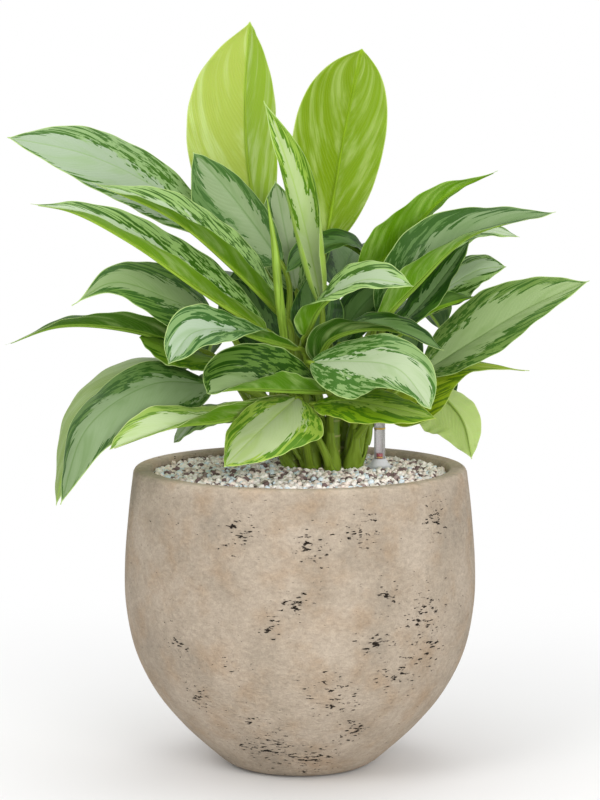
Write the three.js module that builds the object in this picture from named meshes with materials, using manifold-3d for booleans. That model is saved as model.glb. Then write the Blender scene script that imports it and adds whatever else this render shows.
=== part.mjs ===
// A potted Chinese evergreen: a fibre cement orb pot filled with mixed granules, six canes in a clump,
// their stalked leaves, and the float gauge that shows the water level. Millimetres, +Z up, the origin
// at the middle of the pot's foot, the front of the plant towards -Y.
import * as THREE from 'three';
import { mergeVertices } from 'three/addons/utils/BufferGeometryUtils.js';
import Module from 'manifold-3d';

const wasm = await Module();
wasm.setup();

// Driving dimensions
const potHeight = 300;
const potSides = 36;
const fitGap = 0.4;
const soilTop = 292;
const soilCrown = 5;
const soilFloor = 19;
const caneRadius = 7.6;
const caneFoot = 244;
const caneSides = 10;
const caneRings = 2;
const caneHoleGap = 0.8;
const stalkRadius = 3.1;
const bladeThickness = 1.2;
const gaugeAt = [80, 20];
const gaugeTop = 356;
const gaugeSides = 16;

// Finishes
const finish = (color, roughness) => new THREE.MeshStandardMaterial({ color, roughness, metalness: 0 });
const cement = finish(0xb5a692, 0.9);
const granules = finish(0xb9ada6, 0.95);
const caneGreen = finish(0x5f7a36, 0.5);
const clearPlastic = finish(0xe4e6ea, 0.15);
const yellowPlastic = finish(0xd9b23a, 0.4);
const redPlastic = finish(0xa8182c, 0.35);
const leafFinish = {
  silver: finish(0x86a878, 0.4),
  lime: finish(0xa3c24c, 0.42),
  plain: finish(0x5f8f2e, 0.45),
};

const vec = (p) => new THREE.Vector3(...p);
const profile = (points) => points.map(([r, z]) => new THREE.Vector2(r, z));

function addMesh(parent, name, geometry, material) {
  const mesh = new THREE.Mesh(geometry, material);
  mesh.name = name;
  parent.add(mesh);
  return mesh;
}

// A lathe about Z, from a profile of radius and height that starts and ends on the axis or closes
function turned(points, sides) {
  return new THREE.LatheGeometry(profile(points), sides).rotateX(Math.PI / 2);
}

// A plain rod about Z between two heights
const rod = (radius, from, to, sides) => turned([[0, from], [radius, from], [radius, to], [0, to]], sides);

// Solids for cutting
function asSolid(geometry) {
  const bare = geometry.clone();
  bare.deleteAttribute('normal');
  bare.deleteAttribute('uv');
  const merged = mergeVertices(bare, 1e-4);
  return new wasm.Manifold(new wasm.Mesh({
    numProp: 3,
    vertProperties: new Float32Array(merged.attributes.position.array),
    triVerts: new Uint32Array(merged.index.array),
  }));
}

function asGeometry(solid) {
  const mesh = solid.getMesh();
  const geometry = new THREE.BufferGeometry();
  geometry.setAttribute('position', new THREE.BufferAttribute(new Float32Array(mesh.vertProperties), 3));
  geometry.setIndex(new THREE.BufferAttribute(new Uint32Array(mesh.triVerts), 1));
  geometry.computeVertexNormals();
  return geometry;
}

const cutAway = (geometry, tools) =>
  asGeometry(tools.reduce((solid, tool) => solid.subtract(asSolid(tool)), asSolid(geometry)));

// Pot: an orb with a narrow foot and a straight rim, its outside a curve through eight points
const potWaist = [
  [82, 9], [119, 44], [146, 78], [165, 117], [174, 162], [175, 206], [171, 257], [166.5, 294],
];
const potWall = 17;
const potFloor = 18;
const rimInner = 148;

function potOutside(steps) {
  const curve = new THREE.CatmullRomCurve3(potWaist.map(([r, z]) => new THREE.Vector3(r, 0, z)));
  return curve.getSpacedPoints(steps).map((p) => [p.x, p.z]);
}

function potInside(steps) {
  const inner = potOutside(steps).map(([r, z]) => [Math.min(r - potWall, rimInner), z]);
  return inner.filter(([r, z]) => z > potFloor + 8 && z < potHeight - 12);
}

function potGeometry() {
  const outside = potOutside(9);
  const inside = potInside(6);
  return turned([
    [0, 0], [69, 0], [76, 3], ...outside, [163.5, 299], [160, potHeight], [152, potHeight], [rimInner, 297],
    ...inside.reverse(), [84, potFloor + 3], [74, potFloor], [0, potFloor],
  ], potSides);
}

// Canes: where each leaves the granules, how it leans, and its height
const soilLevel = soilTop + soilCrown;
const canes = {
  a: { at: [-6, 10], lean: [-0.12, 0.02], top: 384 },
  b: { at: [13, -4], lean: [-0.05, -0.05], top: 372 },
  c: { at: [32, -10], lean: [0.01, -0.06], top: 368 },
  d: { at: [52, 0], lean: [0.09, -0.02], top: 374 },
  e: { at: [18, 31], lean: [-0.06, 0.08], top: 396 },
  f: { at: [42, 29], lean: [0.08, 0.08], top: 396 },
};

const caneAxis = (cane) => new THREE.Vector3(...cane.lean, 1).normalize();

function alongCane(cane, height) {
  const rise = height - soilLevel;
  return new THREE.Vector3(cane.at[0] + cane.lean[0] * rise, cane.at[1] + cane.lean[1] * rise, height);
}

// A cane's turned shape, ringed where old leaves grew, thinner towards the growing tip
function caneGeometry(cane) {
  const length = (cane.top - caneFoot) / caneAxis(cane).z;
  const soil = (soilLevel - caneFoot) / caneAxis(cane).z;
  const points = [[0, 0], [caneRadius, 0]];
  for (let i = 0; i < caneRings; i++) {
    const z = soil + ((length - soil) * (i + 0.5)) / caneRings;
    points.push([caneRadius + 0.5 - i * 0.3, z], [caneRadius - 0.5 - i * 0.3, z + 3]);
  }
  points.push([caneRadius * 0.45, length - 1], [0, length]);
  return turned(points, caneSides);
}

function placeAlongCane(object, cane) {
  object.position.copy(alongCane(cane, caneFoot));
  object.quaternion.setFromUnitVectors(new THREE.Vector3(0, 0, 1), caneAxis(cane));
}

// The plain hole a cane stands in, open at the top of the granules
function caneHole(cane) {
  const holder = new THREE.Object3D();
  placeAlongCane(holder, cane);
  holder.updateMatrix();
  const r = caneRadius + caneHoleGap;
  return rod(r, -caneHoleGap, soilLevel - caneFoot + 30, caneSides).applyMatrix4(holder.matrix);
}

// Granules: one filling with its top raised in small lumps, holed for the canes and the gauge
const casing = { radius: 9, bore: 7.2, foot: 46, top: 294 };
const collar = { foot: 14.5, neck: 6.6, height: 10, seat: soilLevel - 1.6 };

function soilGeometry() {
  const rings = 6;
  const edge = rimInner - fitGap;
  const wall = potInside(6).filter(([, z]) => z < soilTop - 8).map(([r, z]) => [r - fitGap, z]);
  const points = [[0, soilFloor], [73, soilFloor], [83.5, soilFloor + 3], ...wall, [edge, soilTop]];
  for (let i = rings - 1; i >= 0; i--) {
    const r = (edge * i) / rings;
    points.push([r, soilTop + soilCrown * (1 - (i / rings) ** 2)]);
  }
  const geometry = turned(points, potSides);
  const spot = geometry.attributes.position;
  for (let i = 0; i < spot.count; i++) {
    const x = spot.getX(i);
    const y = spot.getY(i);
    const r = Math.hypot(x, y);
    if (spot.getZ(i) > soilTop - 1 && r < edge - 2) {
      const lump = Math.sin(x * 1.7 + y * 0.6) + Math.sin(y * 1.9 - x * 0.8) + Math.sin((x + y) * 1.1);
      spot.setZ(i, spot.getZ(i) + 0.8 * lump);
    }
  }
  const clear = soilTop + 30;
  const gaugeHoles = [
    rod(casing.radius + 2 * fitGap, casing.foot - fitGap, clear, gaugeSides),
    rod(collar.foot + 1, collar.seat - fitGap, clear, gaugeSides),
  ].map((hole) => hole.translate(...gaugeAt, 0));
  return cutAway(geometry, [...Object.values(canes).map(caneHole), ...gaugeHoles]);
}

// Water gauge: a casing down in the granules, a cone collar on them, a clear tube and the float inside
const tube = { radius: 5.5, bore: 4.2 };
const float = { radius: 6.2, foot: 60, top: 96, stem: 1.5, stemTop: 304 };
const pointer = { radius: 3.4, height: 6 };

function gaugeGroup() {
  const gauge = new THREE.Group();
  gauge.position.set(...gaugeAt, 0);
  const { seat } = collar;
  addMesh(gauge, 'gauge_casing', turned([
    [casing.bore, casing.foot], [casing.radius, casing.foot], [casing.radius, casing.top - 0.2],
    [casing.bore, casing.top - 0.2], [casing.bore, casing.foot],
  ], gaugeSides), clearPlastic);
  addMesh(gauge, 'gauge_collar', turned([
    [tube.radius + fitGap, seat], [collar.foot, seat], [collar.foot, seat + 1.4],
    [collar.neck, seat + collar.height], [tube.radius + fitGap, seat + collar.height],
    [tube.radius + fitGap, seat],
  ], gaugeSides), clearPlastic);
  addMesh(gauge, 'gauge_tube', turned([
    [tube.bore, seat + 0.2], [tube.radius, seat + 0.2], [tube.radius, gaugeTop - 1], [4, gaugeTop],
    [0, gaugeTop], [0, gaugeTop - 1.6], [tube.bore, gaugeTop - 1.6], [tube.bore, seat + 0.2],
  ], gaugeSides), clearPlastic);
  addMesh(gauge, 'gauge_float', turned([
    [0, float.foot], [float.radius - 2, float.foot], [float.radius, float.foot + 3],
    [float.radius, float.top - 3], [float.radius - 2, float.top], [float.stem, float.top],
    [float.stem, float.stemTop], [0, float.stemTop],
  ], gaugeSides), yellowPlastic);
  const bottom = float.stemTop + fitGap;
  addMesh(gauge, 'gauge_pointer', rod(pointer.radius, bottom, bottom + pointer.height, 12), redPlastic);
  return gauge;
}

// Leaves. Each names its cane and how high its stalk leaves it. The midrib runs through points from the
// blade's foot to its tip. Halves say how far and which way each side of the blade stands off the
// midrib, at one to three places along it, seen from the foot with the upper face up. Curl is the
// angle in radians that each half turns through, at the foot and at the tip: less than nothing droops.
const leaves = [
  { name: 'lime_left', kind: 'lime', cane: 'e', foot: 388, widest: 0.58, tip: 0.16,
    midrib: [[-39, 82, 522], [-53, 76, 598], [-55, 66, 668], [-50, 52, 741]],
    halves: [{ at: 0.5, left: [35, 47, 3], right: [-68, 9, 3] }] },
  { name: 'lime_right', kind: 'lime', cane: 'f', foot: 362, widest: 0.6, tip: 0.07,
    midrib: [[25, 78, 511], [37, 74, 582], [47, 66, 641], [62, 52, 714]],
    halves: [{ at: 0.6, left: [46, 27, 1], right: [-54, 22, 7] }] },
  { name: 'centre_twist', kind: 'silver', cane: 'c', foot: 362, widest: 0.38,
    midrib: [[21, -15, 463], [8, -22, 527], [-10, -30, 596], [-35, -48, 663]],
    halves: [
      { at: 0.25, left: [-8, -30, 0], right: [11, -32, 0] },
      { at: 0.75, left: [-18, -16, 10], right: [29, -15, 10] },
    ],
    curl: [3.3, 0.1] },
  { name: 'left_top', kind: 'silver', cane: 'e', foot: 364,
    midrib: [[-84, 50, 532], [-149, 20, 580], [-210, -22, 611], [-282, -58, 628]],
    halves: [{ at: 0.45, left: [-16, -33, -24], right: [3, 30, 28] }] },
  { name: 'left_mid', kind: 'silver', cane: 'b', foot: 366, widest: 0.38,
    midrib: [[-15, -6, 450], [-64, -42, 501], [-123, -80, 552], [-197, -112, 587]],
    halves: [{ at: 0.45, left: [3, -36, 18], right: [13, 37, 22] }] },
  { name: 'left_low', kind: 'silver', cane: 'a', foot: 364, widest: 0.38,
    midrib: [[-32, -30, 439], [-92, -62, 479], [-162, -98, 530], [-216, -114, 559], [-254, -122, 567]],
    halves: [{ at: 0.4, left: [-1, -35, 19], right: [12, 36, 25] }] },
  { name: 'left_broad', kind: 'silver', cane: 'a', foot: 352, widest: 0.28, tip: 0.08,
    midrib: [[-85, 5, 446], [-126, -25, 468], [-180, -60, 488], [-219, -88, 468]],
    halves: [{ at: 0.45, left: [-11, -37, -21], right: [-2, 36, 32] }] },
  { name: 'left_dark', kind: 'silver', cane: 'a', foot: 338, widest: 0.3, tip: 0.1,
    midrib: [[-101, 20, 415], [-169, 0, 437], [-237, -20, 442], [-289, -35, 425]],
    halves: [{ at: 0.45, left: [-8, -28, 21], right: [-12, 30, 14] }] },
  { name: 'left_small', kind: 'silver', cane: 'a', foot: 324, widest: 0.6,
    midrib: [[-78, -2, 405], [-106, -11, 412], [-134, -21, 422], [-158, -28, 432]],
    halves: [{ at: 0.5, left: [-5, -17, -13], right: [-5, 25, 6] }] },
  { name: 'left_pale', kind: 'lime', cane: 'a', foot: 312,
    midrib: [[-101, 40, 403], [-160, 10, 400], [-206, -22, 369], [-232, -40, 302], [-240, -42, 267]],
    halves: [{ at: 0.4, left: [11, -26, -18], right: [-19, 30, 1] }] },
  { name: 'left_droop', kind: 'silver', cane: 'b', foot: 352, turn: 10, widest: 0.4,
    midrib: [[-88, -10, 384], [-146, -58, 388], [-204, -96, 351], [-231, -95, 276]],
    halves: [
      { at: 0.2, left: [5, -28, -37], right: [-7, 27, 21] },
      { at: 0.5, left: [5, -28, -37], right: [-22, 27, 6] },
    ] },
  { name: 'left_light', kind: 'silver', cane: 'b', foot: 316, widest: 0.58,
    midrib: [[-10, -30, 374], [-66, -70, 357], [-123, -108, 353], [-181, -136, 335]],
    halves: [
      { at: 0.35, left: [-8, -27, 17], right: [0, 35, 14] },
      { at: 0.75, left: [-9, -26, -3], right: [-8, 30, 22] },
    ] },
  { name: 'left_inner', kind: 'silver', cane: 'b', foot: 310, widest: 0.6,
    midrib: [[-32, -14, 356], [-68, -14, 355], [-105, -16, 348], [-125, -17, 326]],
    halves: [{ at: 0.5, left: [-1, -25, -8], right: [1, 24, 10] }] },
  { name: 'front_curl', kind: 'silver', cane: 'b', foot: 354, widest: 0.58,
    midrib: [[-1, -42, 423], [-37, -82, 436], [-70, -119, 448], [-102, -146, 446], [-123, -160, 419]],
    halves: [
      { at: 0.25, left: [-6, -22, 16], right: [0, 23, 10] },
      { at: 0.75, left: [14, -28, -14], right: [-12, 16, 25] },
    ] },
  { name: 'front_bowl', kind: 'silver', cane: 'c', foot: 340, widest: 0.55,
    midrib: [[24, -56, 382], [-18, -92, 387], [-58, -128, 392], [-87, -158, 391]],
    halves: [
      { at: 0.5, left: [-2, -30, 21], right: [-15, 10, 46] },
      { at: 0.85, left: [-3, -33, 6], right: [-34, 24, 30] },
    ] },
  { name: 'front_bottom', kind: 'silver', cane: 'b', foot: 304, lead: 0.15,
    midrib: [[-3, -60, 376], [-25, -92, 360], [-50, -118, 339], [-72, -132, 318]],
    halves: [
      { at: 0.3, left: [43, -28, -22], right: [-16, 27, 17] },
      { at: 0.6, left: [32, -29, -16], right: [-27, 31, 6] },
    ] },
  { name: 'front_small', kind: 'silver', cane: 'e', foot: 384, turn: -20, rise: 0.5, lead: 0.15,
    midrib: [[5, -50, 436], [21, -74, 468], [61, -108, 494], [107, -136, 490]],
    halves: [
      { at: 0.15, left: [5, 22, 19], right: [-23, -25, 6] },
      { at: 0.55, left: [0, 29, 17], right: [7, -31, -3] },
    ] },
  { name: 'front_mid', kind: 'silver', cane: 'd', foot: 362, turn: 50,
    midrib: [[16, -35, 408], [31, -50, 433], [82, -68, 444], [139, -80, 424]],
    halves: [
      { at: 0.35, left: [-3, 33, 8], right: [-10, -29, 16] },
      { at: 0.7, left: [3, 31, 18], right: [-6, -31, 3] },
    ] },
  { name: 'front_big', kind: 'silver', cane: 'f', foot: 372, turn: 75, lead: 0.15, widest: 0.52,
    midrib: [[10, -84, 413], [49, -114, 417], [92, -148, 413], [122, -172, 378]],
    halves: [
      { at: 0.4, left: [5, 37, 25], right: [0, -34, -34] },
      { at: 0.65, left: [10, 36, 24], right: [-4, -36, -32] },
      { at: 0.9, left: [24, 30, 21], right: [-9, -33, -12] },
    ] },
  { name: 'front_lime', kind: 'silver', cane: 'c', foot: 306,
    midrib: [[14, -66, 371], [48, -88, 376], [87, -112, 372], [129, -132, 364]],
    halves: [{ at: 0.45, left: [1, 32, 11], right: [-6, -32, -16] }] },
  { name: 'right_olive', kind: 'silver', cane: 'd', foot: 322, widest: 0.28, tip: 0.1,
    midrib: [[76, 6, 362], [108, 0, 377], [153, -5, 401], [228, 0, 396]],
    halves: [
      { at: 0.35, left: [-14, 37, 13], right: [4, -34, -36] },
      { at: 0.65, left: [-6, 20, 6], right: [2, -17, -14] },
    ] },
  { name: 'right_pale', kind: 'lime', cane: 'f', foot: 318, widest: 0.4,
    midrib: [[119, 45, 374], [140, 30, 368], [162, 12, 345], [171, -5, 308]],
    halves: [{ at: 0.5, left: [-26, -8, -26], right: [17, 28, 8] }] },
  { name: 'right_big', kind: 'silver', cane: 'd', foot: 332, turn: -85, widest: 0.4,
    midrib: [[123, -5, 395], [175, -20, 430], [229, -42, 465], [280, -62, 490]],
    halves: [{ at: 0.4, left: [-17, 29, 30], right: [9, -38, -15] }] },
  { name: 'right_back', kind: 'silver', cane: 'f', foot: 342,
    midrib: [[120, 66, 451], [150, 62, 474], [180, 56, 492], [208, 50, 496]],
    halves: [{ at: 0.5, left: [2, 24, 24], right: [12, -24, -13] }] },
  { name: 'right_plain', kind: 'plain', cane: 'd', foot: 360, turn: 35, rise: 0.9,
    midrib: [[95, 25, 429], [129, 22, 453], [175, 18, 469]],
    halves: [{ at: 0.5, left: [-2, 28, 10], right: [6, -14, 22] }] },
  { name: 'right_dark', kind: 'silver', cane: 'd', foot: 362, rise: 0.7,
    midrib: [[89, 0, 431], [121, -4, 463], [150, -8, 501], [168, -8, 527]],
    halves: [{ at: 0.5, left: [-7, 18, 14], right: [13, -25, 1] }] },
  { name: 'right_long', kind: 'silver', cane: 'd', foot: 370, widest: 0.4,
    midrib: [[78, -18, 446], [112, -34, 483], [164, -48, 532], [248, -50, 556]],
    halves: [
      { at: 0.3, left: [-29, 20, 33], right: [-20, -28, 11] },
      { at: 0.7, left: [-10, 33, 26], right: [-4, -34, -1] },
    ] },
  { name: 'right_tip', kind: 'silver', cane: 'f', foot: 364,
    midrib: [[101, 60, 484], [146, 58, 517], [186, 54, 533], [221, 48, 526]],
    halves: [{ at: 0.6, left: [2, 25, 8], right: [-1, -24, -9] }] },
  { name: 'right_green', kind: 'plain', cane: 'f', foot: 378, turn: -30, widest: 0.35, tip: 0.08,
    midrib: [[61, 38, 485], [97, 22, 519], [143, -2, 569], [193, -26, 595]],
    halves: [
      { at: 0.3, left: [10, 34, -4], right: [-17, -24, 24] },
      { at: 0.65, left: [6, 22, -4], right: [-14, -20, 20] },
    ] },
  { name: 'back_arch', kind: 'silver', cane: 'f', foot: 340, turn: -56, lead: 0.15,
    midrib: [[77, 57, 500], [45, 46, 520], [9, 28, 512], [-14, 10, 493]],
    halves: [{ at: 0.4, left: [9, -26, -2], right: [9, 25, 14] }] },
  { name: 'back_dark', kind: 'silver', cane: 'a', foot: 374,
    midrib: [[-19, 24, 502], [-45, 22, 539], [-76, 20, 579], [-106, 14, 612]],
    halves: [{ at: 0.5, left: [-36, 0, -33], right: [14, 22, 13] }] },
  { name: 'back_silver', kind: 'silver', cane: 'e', foot: 352, turn: 85,
    midrib: [[-3, 56, 470], [-11, 58, 512], [-18, 60, 547], [-25, 60, 582]],
    halves: [{ at: 0.6, left: [-35, 0, 24], right: [20, 17, 9] }] },
  { name: 'inner_silver', kind: 'silver', cane: 'c', foot: 306,
    midrib: [[39, 20, 420], [51, 18, 445], [67, 16, 465], [84, 12, 480]],
    halves: [{ at: 0.5, left: [-13, 20, 15], right: [22, 15, -8] }] },
  { name: 'inner_mid', kind: 'silver', cane: 'e', foot: 304, turn: 60, lead: 0.15,
    midrib: [[10, 18, 420], [12, 20, 442], [12, 22, 466], [8, 24, 488]],
    halves: [{ at: 0.5, left: [-22, 5, 2], right: [32, 0, -2] }] },
  { name: 'inner_left', kind: 'silver', cane: 'a', foot: 360, turn: 30, lead: 0.15,
    midrib: [[-26, 30, 416], [-40, 34, 436], [-56, 38, 460], [-72, 40, 486]],
    halves: [{ at: 0.5, left: [-24, -4, -16], right: [24, 8, 14] }] },
  { name: 'inner_back', kind: 'silver', cane: 'e', foot: 304, turn: 45, rise: 0.7, lead: 0.15,
    midrib: [[-46, 78, 416], [-52, 80, 438], [-58, 81, 465], [-66, 82, 492]],
    halves: [{ at: 0.5, left: [-28, 0, -10], right: [30, 0, 8] }] },
  { name: 'inner_right', kind: 'silver', cane: 'f', foot: 304, turn: -60,
    midrib: [[88, 48, 390], [96, 49, 406], [104, 50, 424], [110, 50, 442]],
    halves: [{ at: 0.5, left: [-24, 10, 10], right: [24, 4, -12] }] },
  { name: 'rear_1', kind: 'silver', cane: 'e', foot: 332, turn: -30,
    midrib: [[-30, 90, 410], [-62, 130, 425], [-88, 168, 415], [-100, 200, 385]],
    halves: [{ at: 0.45, left: [-30, -26, 12], right: [26, 22, 12] }] },
  { name: 'rear_2', kind: 'silver', cane: 'e', foot: 356,
    midrib: [[-20, 100, 440], [-45, 150, 470], [-60, 195, 475], [-68, 232, 450]],
    halves: [{ at: 0.45, left: [-40, -8, 12], right: [40, 8, 12] }] },
  { name: 'rear_3', kind: 'silver', cane: 'e', foot: 380,
    midrib: [[0, 105, 470], [-8, 150, 510], [-12, 190, 525], [-14, 225, 515]],
    halves: [{ at: 0.45, left: [-40, 0, 12], right: [40, 0, 12] }] },
  { name: 'rear_4', kind: 'silver', cane: 'f', foot: 380,
    midrib: [[40, 105, 470], [52, 150, 500], [60, 190, 508], [66, 225, 495]],
    halves: [{ at: 0.45, left: [-40, 8, 12], right: [40, -8, 12] }] },
  { name: 'rear_5', kind: 'silver', cane: 'f', foot: 372,
    midrib: [[75, 85, 430], [105, 125, 450], [130, 160, 445], [150, 190, 420]],
    halves: [{ at: 0.45, left: [-30, 26, 10], right: [30, -26, 10] }] },
  { name: 'rear_6', kind: 'silver', cane: 'f', foot: 326,
    midrib: [[70, 75, 395], [105, 105, 395], [135, 130, 375], [158, 150, 340]],
    halves: [{ at: 0.45, left: [-26, 32, 8], right: [26, -32, 8] }] },
  { name: 'rear_7', kind: 'silver', cane: 'e', foot: 318,
    midrib: [[-25, 75, 385], [-60, 100, 385], [-95, 122, 362], [-120, 138, 325]],
    halves: [{ at: 0.45, left: [-20, -34, 8], right: [20, 34, 8] }] },
  { name: 'rear_8', kind: 'silver', cane: 'f', foot: 338,
    midrib: [[20, 95, 400], [15, 140, 425], [12, 185, 425], [10, 225, 400]],
    halves: [{ at: 0.45, left: [-34, 0, 10], right: [40, 0, 10] }] },
];

const stalkStations = [0, 0.3, 0.6, 0.85];
const bladeStations = [0, 0.04, 0.14, 0.28, 0.42, 0.56, 0.7, 0.84, 0.94, 1];
const across = [-1, -0.5, 0, 0.5, 1];

// How wide the blade is along the midrib, 1 at its widest, with a drawn-out tip: a larger tip is longer
const usualWidest = 0.45;
const fullness = 0.62;
const usualTip = 0.04;

function outline(s, leaf) {
  const widest = leaf.widest ?? usualWidest;
  const tip = leaf.tip ?? usualTip;
  const rise = Math.pow(s / widest, fullness);
  const fall = Math.pow((1 - s) / (1 - widest), (fullness * (1 - widest)) / widest);
  const taper = ((1 + tip) * (1 - s)) / (1 + tip - s) + 0.03;
  return rise * fall * Math.min(1, taper);
}

// Directions square to a path that turn with it as little as they can
function turningFrames(points, startSide) {
  const frames = [];
  const side = startSide.clone();
  points.forEach((p, i) => {
    const next = points[Math.min(i + 1, points.length - 1)];
    const ahead = next.clone().sub(points[Math.max(i - 1, 0)]).normalize();
    side.addScaledVector(ahead, -side.dot(ahead)).normalize();
    frames.push({ at: p, ahead, side: side.clone(), up: side.clone().cross(ahead) });
  });
  return frames;
}

// The blade's two half directions at each station, carried along the midrib from where they are given
function halvesAlong(leaf, curve) {
  const count = 50;
  const path = curve.getSpacedPoints(count);
  const first = leaf.halves[0];
  const frames = turningFrames(path, vec(first.right).sub(vec(first.left)));
  const frameAt = (s) => frames[Math.round(s * count)];
  const flat = (v, frame) => new THREE.Vector2(v.dot(frame.side), v.dot(frame.up));
  const given = leaf.halves.map(({ at, left, right }) => {
    const frame = frameAt(at);
    return { at, left: flat(vec(left), frame), right: flat(vec(right), frame) };
  });
  return (s) => {
    const frame = frameAt(s);
    const next = given.findIndex((g) => g.at >= s);
    const b = given[next < 0 ? given.length - 1 : next];
    const a = next <= 0 ? b : given[next - 1];
    const t = a === b ? 0 : (s - a.at) / (b.at - a.at);
    const blend = (key) => {
      const mixed = a[key].clone().lerp(b[key], t);
      const width = THREE.MathUtils.lerp(a[key].length(), b[key].length(), t);
      return { angle: Math.atan2(mixed.y, mixed.x), width };
    };
    return { frame, left: blend('left'), right: blend('right') };
  };
}

// A half's arc from the midrib: its place and face direction a share u of the way out
function arcPoint(angle, width, curl, u) {
  const bend = Math.abs(curl) < 1e-3 ? 1e-3 : curl;
  const start = angle - bend / 2;
  const turn = start + bend * u;
  const radius = width / bend;
  return {
    x: radius * (Math.sin(turn) - Math.sin(start)),
    y: radius * (Math.cos(start) - Math.cos(turn)),
    turn,
  };
}

// A closed ring of points around the blade: five over its upper face, then five back under it
const usualCurl = [-0.35, -0.35];
const rib = { foot: 1.9, tip: 0.1 };
const wave = { height: 1.5, count: 2.4, leftStart: 1, rightStart: 3.6 };

function bladeRing(leaf, section, s) {
  const { frame, left, right } = section(s);
  const share = outline(s, leaf);
  const curl = THREE.MathUtils.lerp(...(leaf.curl ?? usualCurl), s);
  const place = (dx, dy) => frame.at.clone().addScaledVector(frame.side, dx).addScaledVector(frame.up, dy);
  const top = [];
  const bottom = [];
  for (const u of across) {
    const sign = u < 0 ? -1 : 1;
    const half = u < 0 ? left : right;
    const width = Math.max(half.width * share, 1);
    const settle = Math.min(1, width / 12);
    const lift = u < 0 ? Math.PI - half.angle : half.angle;
    const lifted = (lift > Math.PI ? lift - 2 * Math.PI : lift) * settle;
    const arc = arcPoint(lifted, width, curl * settle, Math.abs(u));
    const phase = 2 * Math.PI * wave.count * s + (u < 0 ? wave.leftStart : wave.rightStart);
    const x = sign * arc.x;
    const y = arc.y + wave.height * u * u * Math.sin(phase) * settle * share;
    const onRib = u === 0;
    const fold = 1 / Math.max(0.5, Math.cos(lifted));
    const face = onRib ? [0, fold] : [-sign * Math.sin(arc.turn), Math.cos(arc.turn)];
    const over = bladeThickness / 2;
    const under = over + (onRib ? THREE.MathUtils.lerp(rib.foot, rib.tip, s) : 0);
    top.push(place(x + face[0] * over, y + face[1] * over));
    bottom.unshift(place(x - face[0] * under, y - face[1] * under));
  }
  return [...top, ...bottom];
}

function stalkRing(frame, radius) {
  const ring = [];
  for (let j = 0; j < 10; j++) {
    const angle = Math.PI - ((j + 0.5) * Math.PI) / 5;
    ring.push(frame.at.clone().addScaledVector(frame.side, radius * Math.cos(angle))
      .addScaledVector(frame.up, radius * Math.sin(angle)));
  }
  return ring;
}

// Skins a row of ten-point rings, upper and under faces split alike, and closes both ends
function skinRings(rings) {
  const half = rings[0].length / 2;
  const count = half * 2;
  const index = [];
  const id = (i, j) => i * count + (j % count);
  for (let i = 0; i < rings.length - 1; i++) {
    for (let j = 0; j < count; j++) {
      const [a, b, c, d] = [id(i, j), id(i, j + 1), id(i + 1, j + 1), id(i + 1, j)];
      if (j < half) {
        index.push(a, b, c, a, c, d);
      } else {
        index.push(a, b, d, b, c, d);
      }
    }
  }
  const last = rings.length - 1;
  for (let j = 0; j < half - 1; j++) {
    const k = count - 1 - j;
    index.push(id(0, j), id(0, k), id(0, k - 1), id(0, j), id(0, k - 1), id(0, j + 1));
    index.push(id(last, j), id(last, j + 1), id(last, k - 1), id(last, j), id(last, k - 1), id(last, k));
  }
  const geometry = new THREE.BufferGeometry();
  const places = rings.flat().flatMap((p) => p.toArray());
  geometry.setAttribute('position', new THREE.Float32BufferAttribute(places, 3));
  geometry.setIndex(index);
  geometry.computeVertexNormals();
  return geometry;
}

// The stalk: up along its cane, then over in one arc into the midrib. Turn is the angle in degrees
// between where it leaves the cane and the blade's foot, rise how upright it leaves, lead how far it
// runs in line with the midrib.
function stalkCurve(leaf, midrib) {
  const up = new THREE.Vector3(0, 0, 1);
  const base = midrib.getPoint(0);
  const axis = alongCane(canes[leaf.cane], leaf.foot);
  const out = new THREE.Vector3(base.x - axis.x, base.y - axis.y, 0).normalize();
  out.applyAxisAngle(up, THREE.MathUtils.degToRad(leaf.turn ?? 0));
  const foot = axis.clone().addScaledVector(out, caneRadius + stalkRadius + 1.5);
  const reach = foot.distanceTo(base);
  const towards = base.clone().sub(foot).normalize().addScaledVector(out, 0.5).normalize();
  const leave = towards.lerp(up, leaf.rise ?? 0.3).normalize();
  const lead = (leaf.lead ?? 0.3) * reach;
  return new THREE.CubicBezierCurve3(
    foot,
    foot.clone().addScaledVector(leave, reach * 0.4),
    base.clone().addScaledVector(midrib.getTangent(0), -lead),
    base,
  );
}

function leafGeometry(leaf) {
  const midrib = new THREE.CatmullRomCurve3(leaf.midrib.map(vec));
  const section = halvesAlong(leaf, midrib);
  const stalk = stalkCurve(leaf, midrib);
  const back = [...stalkStations, 1].map((t) => stalk.getPointAt(t)).reverse();
  const frames = turningFrames(back, section(0).frame.side).slice(1).reverse();
  const stalkRings = frames.map((frame, i) => {
    frame.up = frame.ahead.clone().cross(frame.side);
    return stalkRing(frame, stalkRadius + (i === 0 ? 0.5 : 0));
  });
  const bladeRings = bladeStations.map((s) =>
    (s === 0 ? stalkRing(section(0).frame, stalkRadius - 0.3) : bladeRing(leaf, section, s)));
  return skinRings([...stalkRings, ...bladeRings]);
}

// Spears: new leaves still rolled up tight, each a stalk that swells and runs out to a point
const spears = [
  { name: 'spear_tall',
    path: [[-12, -1, 374], [-13, -15, 396], [-15, -36, 430], [-20, -54, 473], [-25, -56, 525],
      [-32, -56, 570]],
    radii: [2.6, 3.2, 4, 4.6, 4.4, 2.6, 0.4] },
  { name: 'spear_small',
    path: [[22, -21, 352], [16, -24, 378], [11, -26, 404], [7.5, -29, 460]],
    radii: [2.4, 2.6, 2.8, 2.8, 2.2, 0.4] },
];

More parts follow.
